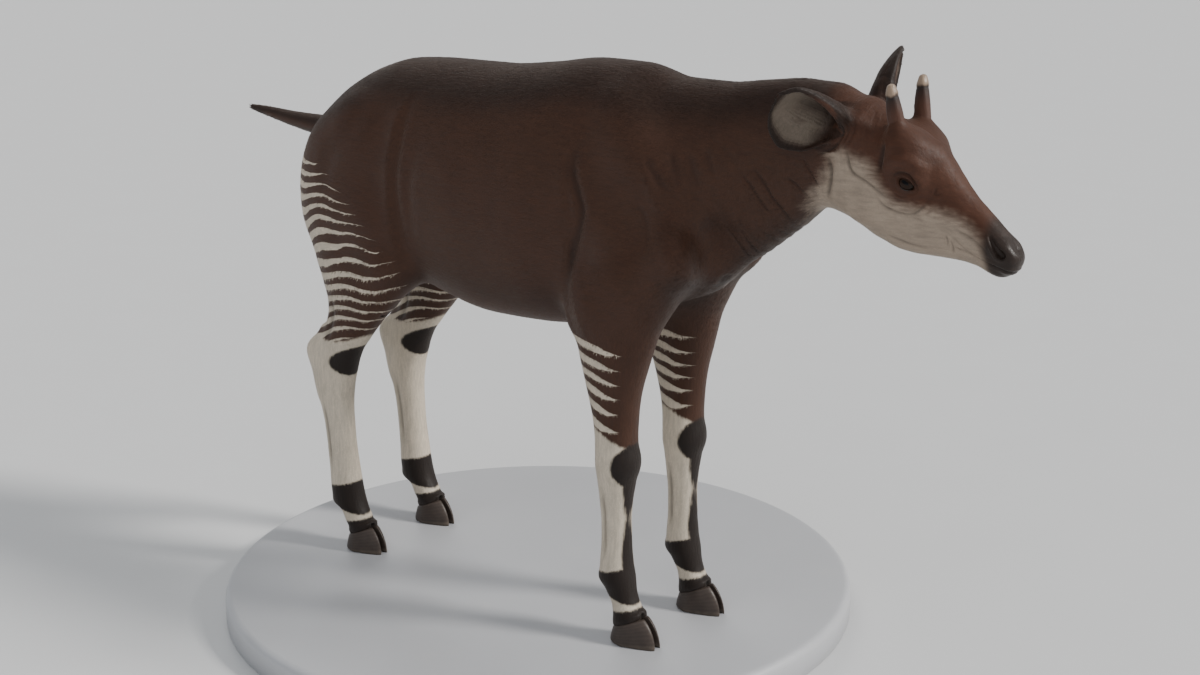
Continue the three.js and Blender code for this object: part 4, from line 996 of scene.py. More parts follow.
def markings(points, normals):
    """The coat's zones as values in millimetres, above zero inside each zone, or shares from 0 to 1."""
    x, y, z = points.T
    t, w = head_frame(x, z)
    wave = 9 * np.sin(x / 61 + 0.9) + 7 * np.sin(z / 47 + x / 130) + 5 * np.sin(x / 29 - z / 83)
    hind = x < 0
    behind = x - HAUNCH_BACK(z)
    spread = STRIPE_REACH(z)
    fan = (z - 960) * np.clip(behind, 0, 400) / 2200
    hind_phase = (z + fan + wave - 0.10 * behind) / 37.0
    hind_share = 0.62 - 0.80 * np.clip(behind / np.maximum(spread, 1), 0, 2) ** 1.3
    hind_share = hind_share - 1.6 * step_between(z, HIND_STRIPES_TOP - 40, HIND_STRIPES_TOP + 10)
    forward = leg_forward(x, y, z, FORELEG, FORE_SWING)
    fore_phase = (z + 0.7 * wave + 14 * forward) / 41.0
    fore_share = 0.50 - 0.62 * step_between(forward, -0.3, 0.95)
    fore_share = fore_share - 1.6 * step_between(z, FORE_STRIPES_TOP - 60, FORE_STRIPES_TOP)
    fore_share = fore_share + 0.1 * step_between(-normals[:, 1] * np.sign(y), 0.2, 0.8)
    hind_forward = leg_forward(x, y, z, HINDLEG, HIND_SWING)
    leg = step_between(z, 905, 800)
    sock_top = np.where(hind, 652 + 26 * hind_forward + 0.8 * wave, 560 - 22 * forward + 0.6 * wave)
    sock = sock_top - z
    front = np.where(hind, hind_forward, forward)
    fetlock = np.minimum(z - (118 - 10 * front), 196 + 12 * front - z)
    over_hoof = 92 + 8 * front - z
    streak = np.minimum(np.minimum(z - 186, 450 - z), (front - 0.83 + 0.06 * np.sin(z / 31)) * 46)
    hock_patch = (front - 0.2 - 0.9 * ((z - 585) / 52) ** 2) * 42
    knee_patch = (front - 0.30 - 0.45 * ((z - 487) / 50) ** 2) * 40
    patches = np.where(hind, hock_patch, np.maximum(streak, knee_patch))
    dark_leg = np.maximum(np.maximum(fetlock, over_hoof), patches)
    on_head = x > 880
    jaw_back = x - 962 + 0.55 * (1215 - z) + 9 * np.sin(z / 19) + 5 * np.sin(z / 7.3 + 1)
    cheek = np.where(x > 800, np.minimum(CHEEK_LINE(t) - w, 0.75 * jaw_back), OUTSIDE)
    muzzle = np.where(on_head, t - np.where(w > 0, 418 - 0.35 * w, 418 - 0.9 * w), OUTSIDE)
    eye_gap = np.sqrt(((t - EYE[0]) / 1.35) ** 2 + (w - EYE[2]) ** 2)
    eye_patch = np.where(on_head, 24 - eye_gap, OUTSIDE)
    on_ear, in_ear, ear_rim = np.zeros((3, len(x)))
    for ear in EAR_SHEETS.values():
        near = np.nonzero(ear.around(points))[0]
        if len(near):
            s, c, hollow_side, gap = ear.locate(points[near])
            limit = 9 + 22 * step_between(s, 0.55, 0.1)
            there = step_between(gap, limit, limit - 4)
            start = np.where(hollow_side > 0, step_between(s, 0.02, 0.12), step_between(s, 0.14, 0.3))
            on_ear[near] = there * start
            edge = step_between(np.abs(c), 0.94, 0.72) * step_between(s, 0.97, 0.88)
            # The hollow of each ear is pale towards its rims and tip; its darker middle and root are partly
            # the ear's real dark skin and partly painted shade in the hollow
            pale = np.maximum(step_between(np.abs(c - 0.1), 0.12, 0.5), step_between(s, 0.45, 0.85))
            in_ear[near] = there * hollow_side * step_between(s, 0.2, 0.42) * edge * (0.25 + 0.75 * pale)
            ear_rim[near] = there * step_between(np.abs(c), 0.8, 0.95) * step_between(s, 0.2, 0.5)
    top = TRUNK[0](np.clip(x, TRUNK_BACK, TRUNK_FRONT))
    back = step_between(z - top, -190, -20) * np.clip(normals[:, 2] + 0.45, 0, 1)
    tail_tip = step_between(x, -1010, -1090)
    # Faces that look downward: the coat is darkened there as painted shade under the body, and its hair grows
    # longer
    below = step_between(normals[:, 2], -0.2, -0.8)
    striped = leg_zone(x, z)
    wrinkled = step_between(x, 640, 820) * step_between(z, 1340, 1240) * (1 - step_between(x, 1160, 1240))
    wrinkled = np.maximum(wrinkled, step_between(x, 985, 1010) * step_between(t, 150, 60))
    return {
        "stripe_phase": np.where(hind, hind_phase, fore_phase),
        "stripe_share": np.where(hind, hind_share, fore_share) * striped - UNSTRIPED * (1 - striped),
        "sock": np.where(leg > 0, sock, OUTSIDE),
        "dark_leg": np.where(leg > 0, dark_leg, OUTSIDE),
        "cheek": cheek - 90 * on_ear,
        "muzzle": muzzle,
        "eye_patch": eye_patch,
        "in_ear": in_ear,
        "on_ear": on_ear,
        "ear_rim": ear_rim,
        "back": np.maximum(back, tail_tip),
        "below": below * (1 - leg),
        "wrinkled": wrinkled,
        "leg": leg,
        "head": step_between(x, 960, 1040) * (1 - on_ear),
    }


def leg_zone(x, z):
    """1 where stripes may grow: the haunches, the hind legs and the upper forelegs."""
    rear = step_between(x, -150, -260)
    fore = step_between(z, FORE_STRIPES_TOP + 30, FORE_STRIPES_TOP) * step_between(x, 200, 260)
    return np.maximum(rear, fore)


def lie_of_coat(points, normals):
    """The way the hair lies at each point, as unit vectors along the surface."""
    x, y, z = points.T
    lie = np.stack([-np.ones(len(x)), np.zeros(len(x)), -0.35 * np.ones(len(x))], 1)
    leg = step_between(z, 960, 800)[:, None]
    lie = lie * (1 - leg) + leg * np.array([-0.18, 0, -1.0])
    head = (step_between(x, 960, 1050) * step_between(np.abs(y), 120, 100))[:, None]
    lie = lie * (1 - head) + head * np.array([-HEAD_COS, 0, HEAD_SIN - 0.25])
    tail_part = step_between(x, -770, -830)[:, None]
    lie = lie * (1 - tail_part) + tail_part * np.array([-1.0, 0, 0.08])
    for ear in EAR_SHEETS.values():
        on_it = step_between(ear.share(points), 0.15, 0.35) * ear.around(points)
        on_it = (on_it * step_between(np.abs(y), 80, 104))[:, None]
        lie = lie * (1 - on_it) + on_it * ear.along
    return unit(lie - (lie * normals).sum(1)[:, None] * normals)


# Meshes and materials


def place(points):
    """From millimetres in the animal's frame to metres in the part's frame."""
    return np.asarray(points, float) * MM + BODY_ORIGIN


def unplace(points):
    """From metres in the part's frame to millimetres in the animal's frame."""
    return (np.asarray(points, float) - BODY_ORIGIN) / MM


def mesh_object(name, points, faces, material, roots=None, **attributes):
    """A smooth mesh from points in metres, arrays of faces, and the values its material reads."""
    groups = [np.asarray(g, np.int32) for g in faces]
    mesh = bpy.data.meshes.new(name)
    mesh.vertices.add(len(points))
    mesh.vertices.foreach_set("co", np.asarray(points, np.float32).ravel())
    loops = np.concatenate([g.ravel() for g in groups])
    sizes = np.concatenate([np.full(len(g), g.shape[1]) for g in groups])
    starts = np.concatenate([[0], np.cumsum(sizes)[:-1]])
    mesh.loops.add(len(loops))
    mesh.loops.foreach_set("vertex_index", loops)
    mesh.polygons.add(len(sizes))
    mesh.polygons.foreach_set("loop_start", starts.astype(np.int32))
    mesh.polygons.foreach_set("loop_total", sizes.astype(np.int32))
    mesh.polygons.foreach_set("use_smooth", np.ones(len(sizes), bool))
    mesh.update(calc_edges=True)
    mesh.validate()
    mesh.materials.append(material)
    piece = bpy.data.objects.new(name, mesh)
    bpy.context.scene.collection.objects.link(piece)
    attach(piece, "root")
    add_attribute(piece, "root", points if roots is None else roots)
    for key, values in attributes.items():
        add_attribute(piece, key, values)
    return piece


def add_attribute(piece, name, values):
    """A number or a vector on each point of a mesh, for its material to read."""
    values = np.asarray(values, np.float32)
    kind, key = ("FLOAT_VECTOR", "vector") if values.ndim == 2 else ("FLOAT", "value")
    attribute = piece.data.attributes.new(name, kind, "POINT")
    attribute.data.foreach_set(key, values.ravel())


def ring_quads(rings, around, closed=False):
    """Faces between rings of points, and from the last ring to the first where it is closed."""
    i, j = np.meshgrid(np.arange(rings if closed else rings - 1), np.arange(around), indexing="ij")
    after, beyond = (i + 1) % rings, (j + 1) % around
    quads = [i * around + j, i * around + beyond, after * around + beyond, after * around + j]
    return np.stack(quads, -1).reshape(-1, 4)


def end_fans(rings, around):
    """Triangles that close the first and last ring with the two points that follow the rings."""
    k = np.arange(around)
    beyond, last = (k + 1) % around, (rings - 1) * around
    first, second = (np.full(around, rings * around + end) for end in (0, 1))
    fans = [np.stack([first, beyond, k], 1), np.stack([second, last + k, last + beyond], 1)]
    return np.concatenate(fans)


def end_caps(rings, around):
    """One face over the first ring and one over the last."""
    k = np.arange(around)[None]
    return [k[:, ::-1], (rings - 1) * around + k]


def for_side(sign, points, *faces):
    """Points and faces drawn for the left side, mirrored where the sign is below zero."""
    if sign > 0:
        return points, faces
    return points * np.array([1, -1, 1]), [f[:, ::-1] for f in faces]


def full_turn(steps):
    """Angles at equal steps round a circle."""
    return np.arange(steps) * 2 * math.pi / steps


def tint(colour, by):
    """A colour made lighter or darker."""
    return [by * c for c in colour]


class Wire:
    """A shader value that arithmetic can be written on."""

    def __init__(self, graph, socket):
        self.graph = graph
        self.socket = socket

    def math(self, operation, *others):
        """This value put through a Math node, with the others that its operation needs."""
        node = self.graph.node("Math", dict(operation=operation), *[self, *others])
        return Wire(self.graph, node.outputs[0])

    def __add__(self, other):
        return self.math("ADD", other)

    def __radd__(self, other):
        return self.math("ADD", other)

    def __sub__(self, other):
        return self.math("SUBTRACT", other)

    def __rsub__(self, other):
        return (self * -1) + other

    def __mul__(self, other):
        return self.math("MULTIPLY", other)

    def __rmul__(self, other):
        return self.math("MULTIPLY", other)

    def __truediv__(self, other):
        return self.math("DIVIDE", other)

    def __pow__(self, other):
        return self.math("POWER", other)

    def clamp(self):
        """This value kept between 0 and 1."""
        return self.graph.ramp_between(self, 0.0, 1.0, "LINEAR")

    def rise(self, low, high):
        """0 below low, 1 above high, smooth between."""
        return self.graph.ramp_between(self, low, high)


class Graph:
    """A material's nodes: one method adds any node, and short ones add those used most."""

    def __init__(self, name, **constants):
        self.material = bpy.data.materials.new(name)
        self.material.use_nodes = True
        self.tree = self.material.node_tree
        self.tree.nodes.clear()
        self.output = self.node("OutputMaterial")
        self.shader = self.node("BsdfPrincipled")
        for socket, value in constants.items():
            self.shader.inputs[socket.replace("_", " ")].default_value = value
        self.tree.links.new(self.shader.outputs[0], self.output.inputs[0])

    def node(self, kind, settings=None, *values, **named):
        """Adds a node of a type, makes its settings, then fills its sockets in order or by name."""
        node = self.tree.nodes.new("ShaderNode" + kind)
        for key, value in (settings or {}).items():
            setattr(node, key, value)
        sockets = [(node.inputs[i], v) for i, v in enumerate(values)]
        sockets += [(node.inputs[key.replace("_", " ")], v) for key, v in named.items()]
        for socket, value in sockets:
            self.fill(socket, value)
        return node

    def fill(self, socket, value):
        """Links a wire or a socket into a socket, or writes a plain value there."""
        if isinstance(value, Wire):
            self.tree.links.new(value.socket, socket)
        elif isinstance(value, bpy.types.NodeSocket):
            self.tree.links.new(value, socket)
        elif hasattr(value, "__len__") and len(value) == 3 and socket.type == "RGBA":
            socket.default_value = (*value, 1.0)
        else:
            socket.default_value = value

    def set(self, name, value):
        """Fills one of the shader's own sockets."""
        self.fill(self.shader.inputs[name], value)

    def attribute(self, name, output="Fac"):
        """A value stored on the piece's points."""
        node = self.node("Attribute", dict(attribute_type="GEOMETRY", attribute_name=name))
        return Wire(self, node.outputs[output])

    def place(self):
        """Where a point of the piece lies, or where its tuft is rooted, in metres."""
        return self.attribute("root", "Vector")

    def scaled(self, vector, by):
        """A vector or colour times another."""
        node = self.node("VectorMath", dict(operation="MULTIPLY"), vector, by)
        return Wire(self, node.outputs[0])

    def noise(self, vector, scale, detail=3.0, roughness=0.55):
        """Soft random mottling, about 0.5 on the whole."""
        node = self.node("TexNoise", None, Vector=vector, Scale=scale, Detail=detail, Roughness=roughness)
        return Wire(self, node.outputs["Fac"])

    def ramp_between(self, wire, low, high, interpolation="SMOOTHSTEP"):
        """A value turned into 0 at low and 1 at high."""
        settings = dict(interpolation_type=interpolation, clamp=True)
        node = self.node("MapRange", settings, wire, low, high, 0.0, 1.0)
        return Wire(self, node.outputs[0])

    def mix(self, factor, a, b):
        """Colour a where the factor is 0 and colour b where it is 1."""
        node = self.node("Mix", dict(data_type="RGBA", clamp_factor=True))
        for socket, value in ((0, factor), (6, a), (7, b)):
            self.fill(node.inputs[socket], value)
        return Wire(self, node.outputs[2])

    def brightened(self, colour, value):
        """A colour times a value, by way of a vector product."""
        grey = self.node("CombineXYZ", None, value, value, value)
        return self.scaled(colour, grey.outputs[0])

    def bump(self, height, distance, strength=1.0, normal=None):
        """A normal shaped by a height, over another normal if there is one."""
        node = self.node("Bump", None, Height=height, Distance=distance, Strength=strength)
        if normal is not None:
            self.fill(node.inputs["Normal"], normal)
        return Wire(self, node.outputs[0])


def coat_material(name, coat, hair=False):
    """The coat's colours and fine relief. Skin and tufts share it, so their markings agree."""
    g = Graph(name, Sheen_Weight=0.08, Sheen_Roughness=0.5, Specular_IOR_Level=0.25)
    g.shader.inputs["Sheen Tint"].default_value = (0.95, 0.82, 0.72, 1)
    where = g.place()
    broad = g.noise(where, 3.2, 2.0) - 0.5
    medium = g.noise(where, 17.0, 3.0) - 0.5
    along_body = g.scaled(where, (22.0, 160.0, 120.0))
    along_leg = g.scaled(where, (160.0, 160.0, 24.0))
    strand = g.mix(g.attribute("leg"), g.noise(along_body, 1.0, 3.0), g.noise(along_leg, 1.0, 3.0))
    ragged = medium * 7.0 + (strand - 0.5) * 9.0
    back = (g.attribute("back") + broad * 0.5).rise(0.05, 0.95)
    colour = g.mix(back, coat.flank, coat.back)
    # Painted shade: faces that look downward are darkened towards the near black
    colour = g.mix(g.attribute("below") * 0.55, colour, coat.dark)
    colour = g.mix(g.attribute("head") * (0.75 + broad * 0.6), colour, coat.brow)
    phase = g.attribute("stripe_phase") + medium * 0.34 + broad * 1.1 + (strand - 0.5) * 0.12
    saw = phase.math("FRACT")
    away = (saw - 0.5).math("ABSOLUTE") * 2.0
    stripe = (g.attribute("stripe_share") - away + medium * 0.25).rise(-0.035, 0.055)
    sock = (g.attribute("sock") + ragged * 1.6).rise(-4.0, 7.0)
    pale = stripe.math("MAXIMUM", sock)
    cream = g.mix((broad * 1.4 + 0.35).clamp(), coat.white, tint(coat.white, 0.84))
    colour = g.mix(pale, colour, cream)
    colour = g.mix((g.attribute("dark_leg") + ragged).rise(-3.0, 4.0), colour, coat.dark)
    colour = g.mix((g.attribute("cheek") + ragged * 2.6).rise(-24.0, 24.0) * 0.9, colour, coat.cheek)
    around_eye = (g.attribute("eye_patch") + ragged * 0.8).rise(-6.0, 8.0) * 0.75
    colour = g.mix(around_eye, colour, tint(coat.brow, 0.62))
    muzzle = (g.attribute("muzzle") + ragged * 1.2).rise(-16.0, 18.0)
    colour = g.mix(muzzle * 0.92, colour, tint(coat.dark, 1.9))
    colour = g.mix(g.attribute("on_ear") * 0.75, colour, coat.back)
    # Pale hair in the ear's hollow, darker in the middle and at the root: partly real dark skin, partly
    # painted shade
    colour = g.mix(g.attribute("in_ear") * 0.85, colour, tint(coat.cheek, 0.5))
    colour = g.mix(g.attribute("ear_rim") * 0.7, colour, coat.dark)
    colour = g.mix(g.attribute("bare"), colour, tint(coat.dark, 1.6))
    shade = 0.86 + (strand - 0.5) * 0.55 + medium * 0.25
    if hair:
        shade = shade + g.attribute("tip") * 0.22 + (g.attribute("tuft") - 0.5) * 0.34
    # Painted shade: the crease value darkens the coat in the skin's creases
    g.set("Base Color", g.brightened(colour, shade * (1 - g.attribute("crease") * 0.7)))
    g.set("Roughness", 0.56 + (strand - 0.5) * 0.30 - g.attribute("bare") * 0.16)
    if not hair:
        wrinkles = g.noise(g.scaled(where, (95.0, 30.0, 20.0)), 1.0, 2.0)
        creases = g.bump(wrinkles, 0.0040, g.attribute("wrinkled") * 0.85)
        furry = g.bump(strand, 0.0022, 0.55, creases)
        pores = g.noise(where, 650.0, 2.0)
        g.set("Normal", g.bump(pores, 0.0006, 0.35, furry))
    return g.material


def horn_skin_material(coat, head):
    """Short dark hair up each ossicone, worn away to bare bone at the tip."""
    g = Graph("ossicone_skin", Sheen_Weight=0.15, Specular_IOR_Level=0.35)
    up = g.attribute("height")
    where = g.place()
    grain = g.noise(g.scaled(where, (260.0, 260.0, 60.0)), 1.0, 3.0)
    blotch = g.noise(where, 60.0, 3.0)
    bare = (up + (blotch - 0.5) * 0.10).rise(0.85, 0.90)
    ring = (up + (blotch - 0.5) * 0.06 - 0.845).math("ABSOLUTE").rise(0.035, 0.0)
    colour = g.mix(up.rise(0.62, 0.86), tint(coat.brow, 0.8), coat.back)
    colour = g.mix(ring * 0.8, colour, coat.dark)
    colour = g.mix(bare, colour, g.mix(blotch, tint(head.horn_tip, 0.55), head.horn_tip))
    g.set("Base Color", g.brightened(colour, 0.8 + grain * 0.4))
    g.set("Roughness", 0.62 - bare * 0.26)
    coarse = g.bump(blotch, 0.0016, 0.6)
    g.set("Normal", g.bump(grain, 0.0010, 0.6, coarse))
    return g.material


def eye_material(head):
    """A wet, dark eye with a level pupil."""
    g = Graph("eye", Roughness=0.12, Specular_IOR_Level=0.12, Coat_Weight=0.12, Coat_Roughness=0.03)
    along, high = g.attribute("gaze_along"), g.attribute("gaze_high")
    radius = (along * along + high * high) ** 0.5
    pupil = ((along * along) / 0.105 + (high * high) / 0.022).rise(1.15, 0.85)
    threads = g.noise(g.place(), 900.0, 2.0)
    iris = g.mix(threads, tint(head.iris, 0.45), tint(head.iris, 1.5))
    white = g.mix(radius.rise(0.70, 0.95), [0.012, 0.008, 0.006], [0.10, 0.055, 0.035])
    colour = g.mix(radius.rise(0.56, 0.64), iris, white)
    g.set("Base Color", g.mix(pupil, colour, [0.002, 0.002, 0.003]))
    return g.material


def lid_material(coat):
    """Bare dark skin of the lid rims, and the lashes on them."""
    g = Graph("lid_skin", Specular_IOR_Level=0.45)
    grain = g.noise(g.place(), 900.0, 3.0)
    g.set("Base Color", g.mix(grain, coat.dark, tint(coat.dark, 2.2)))
    g.set("Roughness", 0.35 + grain * 0.2)
    g.set("Normal", g.bump(grain, 0.0004, 0.5))
    return g.material


def hoof_material(stand):
    """Dark horn with growth rings, fine grain and a scuffed, paler edge at the ground."""
    g = Graph("hoof_horn", Specular_IOR_Level=0.4)
    where = g.place()
    up = g.attribute("height")
    grain = g.noise(g.scaled(where, (420.0, 420.0, 60.0)), 1.0, 3.0)
    blotch = g.noise(where, 38.0, 3.0)
    rings = ((up * 46.0 + blotch * 5.0).math("SINE") * 0.5 + 0.5) * 0.6 + grain * 0.4
    worn = (0.22 - up + (blotch - 0.5) * 0.3).rise(0.0, 0.2)
    colour = g.mix(blotch, stand.horn, tint(stand.horn, 2.1))
    colour = g.mix(worn * 0.35, colour, [0.15, 0.12, 0.09])
    g.set("Base Color", g.brightened(colour, 0.85 + rings * 0.3))
    g.set("Roughness", 0.34 + blotch * 0.2 + worn * 0.15)
    g.set("Normal", g.bump(rings, 0.0005, 0.35))
    return g.material


def base_material(stand):
    """Satin paint on board: faint roller texture, dust, and a painted highlight along the rounded edge."""
    g = Graph("base_paint", Specular_IOR_Level=0.4)
    where = g.place()
    roller = g.noise(where, 420.0, 3.0)
    cloud = g.noise(where, 2.4, 4.0)
    dust = g.noise(where, 9.0, 5.0, 0.65)
    # Painted highlight: the rounded rim is painted lighter, broken up by the dust noise
    edge = (g.attribute("rim") + (dust - 0.5) * 0.8).rise(0.55, 0.95)
    colour = g.mix(cloud, tint(stand.paint, 0.93), tint(stand.paint, 1.05))
    colour = g.mix(edge * 0.25, colour, tint(stand.paint, 1.35))
    colour = g.mix(dust.rise(0.55, 0.8) * 0.22, colour, [0.46, 0.45, 0.43])
    g.set("Base Color", colour)
    g.set("Roughness", 0.42 + (cloud - 0.5) * 0.12 + (dust - 0.5) * 0.16)
    g.set("Normal", g.bump(roller, 0.0005, 0.35))
    return g.material


# Coat of tufts

UNWRAP_TILES = {
    "trunk": (0.01, 0.43, 0.98, 0.56),
    "head": (0.01, 0.01, 0.28, 0.40),
    "foreleg_left": (0.31, 0.01, 0.09, 0.40),
    "foreleg_right": (0.41, 0.01, 0.09, 0.40),
    "hindleg_left": (0.51, 0.01, 0.09, 0.40),
    "hindleg_right": (0.61, 0.01, 0.09, 0.40),
    "ear_left": (0.72, 0.01, 0.13, 0.19),
    "ear_right": (0.72, 0.21, 0.13, 0.20),
    "tail": (0.87, 0.01, 0.12, 0.40),
}


def turn_share(a, b):
    """The share of a full turn at which a point lies."""
    return (np.arctan2(a, b) / (2 * math.pi)) % 1.0


def unwrapped(points, normals):
    """Each point's place on an unwrap of the skin, cut into a tile for every part of the body."""
    x, y, z = points.T
    t, w = head_frame(x, z)
    left = y > 0
    place_u = np.clip((x + 800) / 1850, 0, 1)
    place_v = turn_share(y, z - 1160)
    tile = np.zeros(len(x), int)
    names = list(UNWRAP_TILES)

    def take(mask, name, u, v):
        tile[mask] = names.index(name)
        place_u[mask] = np.clip(u, 0, 1)[mask]
        place_v[mask] = np.clip(v, 0, 1)[mask]

    for name, curves, rear in (("foreleg", FORELEG, False), ("hindleg", HINDLEG, True)):
        level = np.clip(z, 60, 930)
        around = turn_share(np.abs(y) - curves[2](level), x - curves[0](level))
        for side in SIDES:
            mask = (z < 800) & ((x < 0) == rear) & (left == (side == "left"))
            take(mask, f"{name}_{side}", around, z / 820)
    take((x > 985) & (np.abs(y) < 110), "head", (t + 70) / 580, turn_share(y, w))
    take(x < -800, "tail", (-800 - x) / 350, turn_share(y, z - 1245))
    for side, ear in EAR_SHEETS.items():
        mask = (x > 900) & (np.abs(y) > 96) & (left == (side == "left"))
        offset = points - ear.root
        inside = normals @ ear.facing > 0
        across = np.clip(offset @ ear.across / 130 * 0.25 + 0.25, 0, 0.5)
        take(mask, f"ear_{side}", ear.share(points), np.where(inside, across, across + 0.5))
    boxes = np.array([UNWRAP_TILES[n] for n in names])[tile]
    return np.stack([boxes[:, 0] + place_u * boxes[:, 2], boxes[:, 1] + place_v * boxes[:, 3]], 1)


class Tufts:
    """Flat tapered tufts rooted in the skin: each is a strip of two faces and a pointed tip."""

    EACH = 5
    PATCH = 0.003

    def __init__(self, roots, normals, lie, length, width, lift, rng):
        count = len(roots)
        side = np.cross(normals, lie)
        veer = rng.normal(0, 0.16, count)[:, None]
        lie = lie * np.cos(veer) + side * np.sin(veer)
        side = np.cross(normals, lie)
        length = (length * rng.uniform(0.75, 1.25, count))[:, None]
        width = (width * rng.uniform(0.8, 1.2, count))[:, None]
        lift = (lift * rng.uniform(0.6, 1.4, count))[:, None]
        base = roots - 0.4 * normals
        middle = roots + lie * length * 0.5 + normals * lift * length * 0.42
        tip = roots + lie * length * 0.96 + normals * lift * length * 0.75
        tip = tip + side * length * rng.normal(0, 0.06, count)[:, None]
        rows = [base - side * width / 2, base + side * width / 2,
                middle - side * width * 0.36, middle + side * width * 0.36, tip]
        self.points = np.stack(rows, 1).reshape(-1, 3)
        first = (np.arange(count) * self.EACH)[:, None]
        self.quads = first + np.array([[0, 2, 3, 1]])
        self.tips = first + np.array([[2, 4, 3]])
        self.roots, self.normals = roots, normals
        self.tip = np.tile([0.0, 0.0, 0.5, 0.5, 1.0], count)
        self.tuft = rng.uniform(0, 1, count)
        round_side = np.tile([-1, 1, -1, 1, 0], count)[:, None] * np.repeat(side, self.EACH, 0)
        self.shading = unit(np.repeat(normals, self.EACH, 0) + 0.25 * round_side)

    def build(self, name, material, **attributes):
        """One mesh of these tufts, each with the values of its root."""
        values = dict(markings(self.roots, self.normals), tuft=self.tuft, **attributes)
        values = {key: np.repeat(value, self.EACH) for key, value in values.items()}
        values.update(tip=self.tip, bare=np.zeros(len(self.points)))
        roots = np.repeat(place(self.roots), self.EACH, 0)
        piece = mesh_object(name, place(self.points), [self.quads, self.tips], material,
                            roots=roots, **values)
        piece.data.normals_split_custom_set_from_vertices(self.shading)
        centre = np.repeat(unwrapped(self.roots, self.normals), self.EACH, 0)
        patch = np.array([[-0.4, 0], [0.4, 0], [-0.3, 0.5], [0.3, 0.5], [0, 1]]) * self.PATCH
        uv = centre + np.tile(patch, (len(self.roots), 1))
        corners = fetch(piece.data.loops, "vertex_index", 1, np.int32)
        layer = piece.data.uv_layers.new(name="OFBake")
        layer.data.foreach_set("uv", uv[corners].astype(np.float32).ravel())
        return piece


def fetch(items, key, width, kind=np.float32):
    """One property of all of a mesh's items, as rows of the given width."""
    values = np.empty(len(items) * width, kind)
    items.foreach_get(key, values)
    return values.reshape(-1, width) if width > 1 else values


def read_skin(piece):
    """The skin's corner points, normals, faces and painted crease shade in the animal's frame."""
    mesh = piece.data
    points = unplace(fetch(mesh.vertices, "co", 3))
    normals = fetch(mesh.vertices, "normal", 3).astype(float)
    faces = fetch(mesh.loops, "vertex_index", 1, np.int32).reshape(-1, 4)
    return points, normals, faces, fetch(mesh.attributes["crease"].data, "value", 1)


def unit(vectors):
    """Vectors made one long."""
    return vectors / np.maximum(np.linalg.norm(vectors, axis=1), 1e-6)[:, None]


# Where the coat ends over the hooves, where it thins on the nose, and the hair inside the ears
COAT_END, NOSE_FROM, IN_EAR_HAIR = 84, 440, 6


def hair_plan(points, normals, coat):
    """Length, width, lift and number of tufts for each place on the skin."""
    x, y, z = points.T
    zone = markings(points, normals)
    t, _ = head_frame(x, z)
    body_hair, face_hair = coat.body_hair / MM, coat.face_hair / MM
    length = body_hair * (1 - 0.45 * step_between(z, 900, 640)) * (1 - 0.25 * step_between(z, 260, 150))
    length = np.where(zone["head"] > 0, body_hair + (face_hair - body_hair) * zone["head"], length)
    length = length * (1 + 0.35 * zone["below"])
    nape = step_between(np.abs(y), 26, 10) * step_between(normals[:, 2], 0.6, 0.9)
    nape = nape * step_between(x, 500, 640) * (1 - step_between(x, 1090, 1130))
    length = length * (1 + 0.6 * nape)
    length = np.where(zone["on_ear"] > 0.5, 0.8 * face_hair + 3, length)
    length = np.where(zone["in_ear"] > 0.5, IN_EAR_HAIR, length) + 5 * step_between(x, -850, -1050)
    width = 0.62 + 0.11 * length
    uneven = np.sin(x / 40) * np.sin(z / 35 + y / 50)
    lift = (0.075 + 0.03 * uneven) * (1 - 0.45 * zone["head"])
    density = 1 / (length * width) ** 0.85
    density = density * (1 - 0.97 * step_between(zone["in_ear"], 0.1, 0.6)) * (1 + 0.6 * zone["head"])
    eye_gap = np.linalg.norm(np.stack([x, np.abs(y), z], 1) - EYE_CENTRE, axis=1)
    bald = (z < COAT_END) | (eye_gap < EYE_RADIUS + 4)
    return length, width, lift, np.where(bald, 0, density) * np.where(t > NOSE_FROM, 0.35, 1)


# Operators: one for each piece or group of like pieces


class OKAPI_OT_skin(bpy.types.Operator):
    """Lay one seamless skin over the trunk, neck, head, ears, legs and tail"""

    bl_idname = "okapi.skin"
    bl_label = "Skin"
    CREASE_SHADE_DEPTH = 5
    MUZZLE_FROM = 1300
    LOW, HIGH = (-1170, -275, 40), (1500, 275, 1580)

    def bare(self, points):
        """1 on the naked skin of the nose, less round the nostrils."""
        t, w = head_frame(points[:, 0], points[:, 2])
        nostril = np.sqrt((t - 452) ** 2 + (w - 20) ** 2) < 26
        naked = np.maximum(step_between(t, NOSE_FROM, NOSE_FROM + 34), np.where(nostril, 0.8, 0))
        return naked * (points[:, 0] > self.MUZZLE_FROM)

    def execute(self, context):
        skin = context.scene.okapi_skin
        body_cell, head_cell = skin.body_cell / MM, skin.head_cell / MM
        along = Curve([-1200, 820, 900, 1500], [body_cell, body_cell, head_cell, head_cell])
        across = Curve([-300, 300], [head_cell, head_cell])
        upward = Curve([0, 1000, 1140, 1600],
                       [0.85 * body_cell, 0.85 * body_cell, 1.2 * head_cell, 1.1 * head_cell])
        axes = [graded(*axis) for axis in zip(self.LOW, self.HIGH, (along, across, upward))]
        net = SurfaceNet(body, axes, skin.coat_depth / MM)
        points, normals = settle(net.field, net.points)
        relief, hollows = skin_relief(points, normals)
        points = points + relief[:, None] * normals
        material = coat_material("skin_coat", context.scene.okapi_coat)
        # Painted shade: the coat is darkened where the relief sinks into folds, lips and clefts, but not in
        # broad hollows
        crease = np.clip((hollows - relief) / self.CREASE_SHADE_DEPTH, 0, 0.75)
        piece = mesh_object("skin", place(points), [net.faces], material, crease=crease,
                            bare=self.bare(points), **markings(points, normals))
        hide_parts("torso", "neck", "head", "tail", "ear_left", "ear_right", *LEGS)
        return {"FINISHED"}


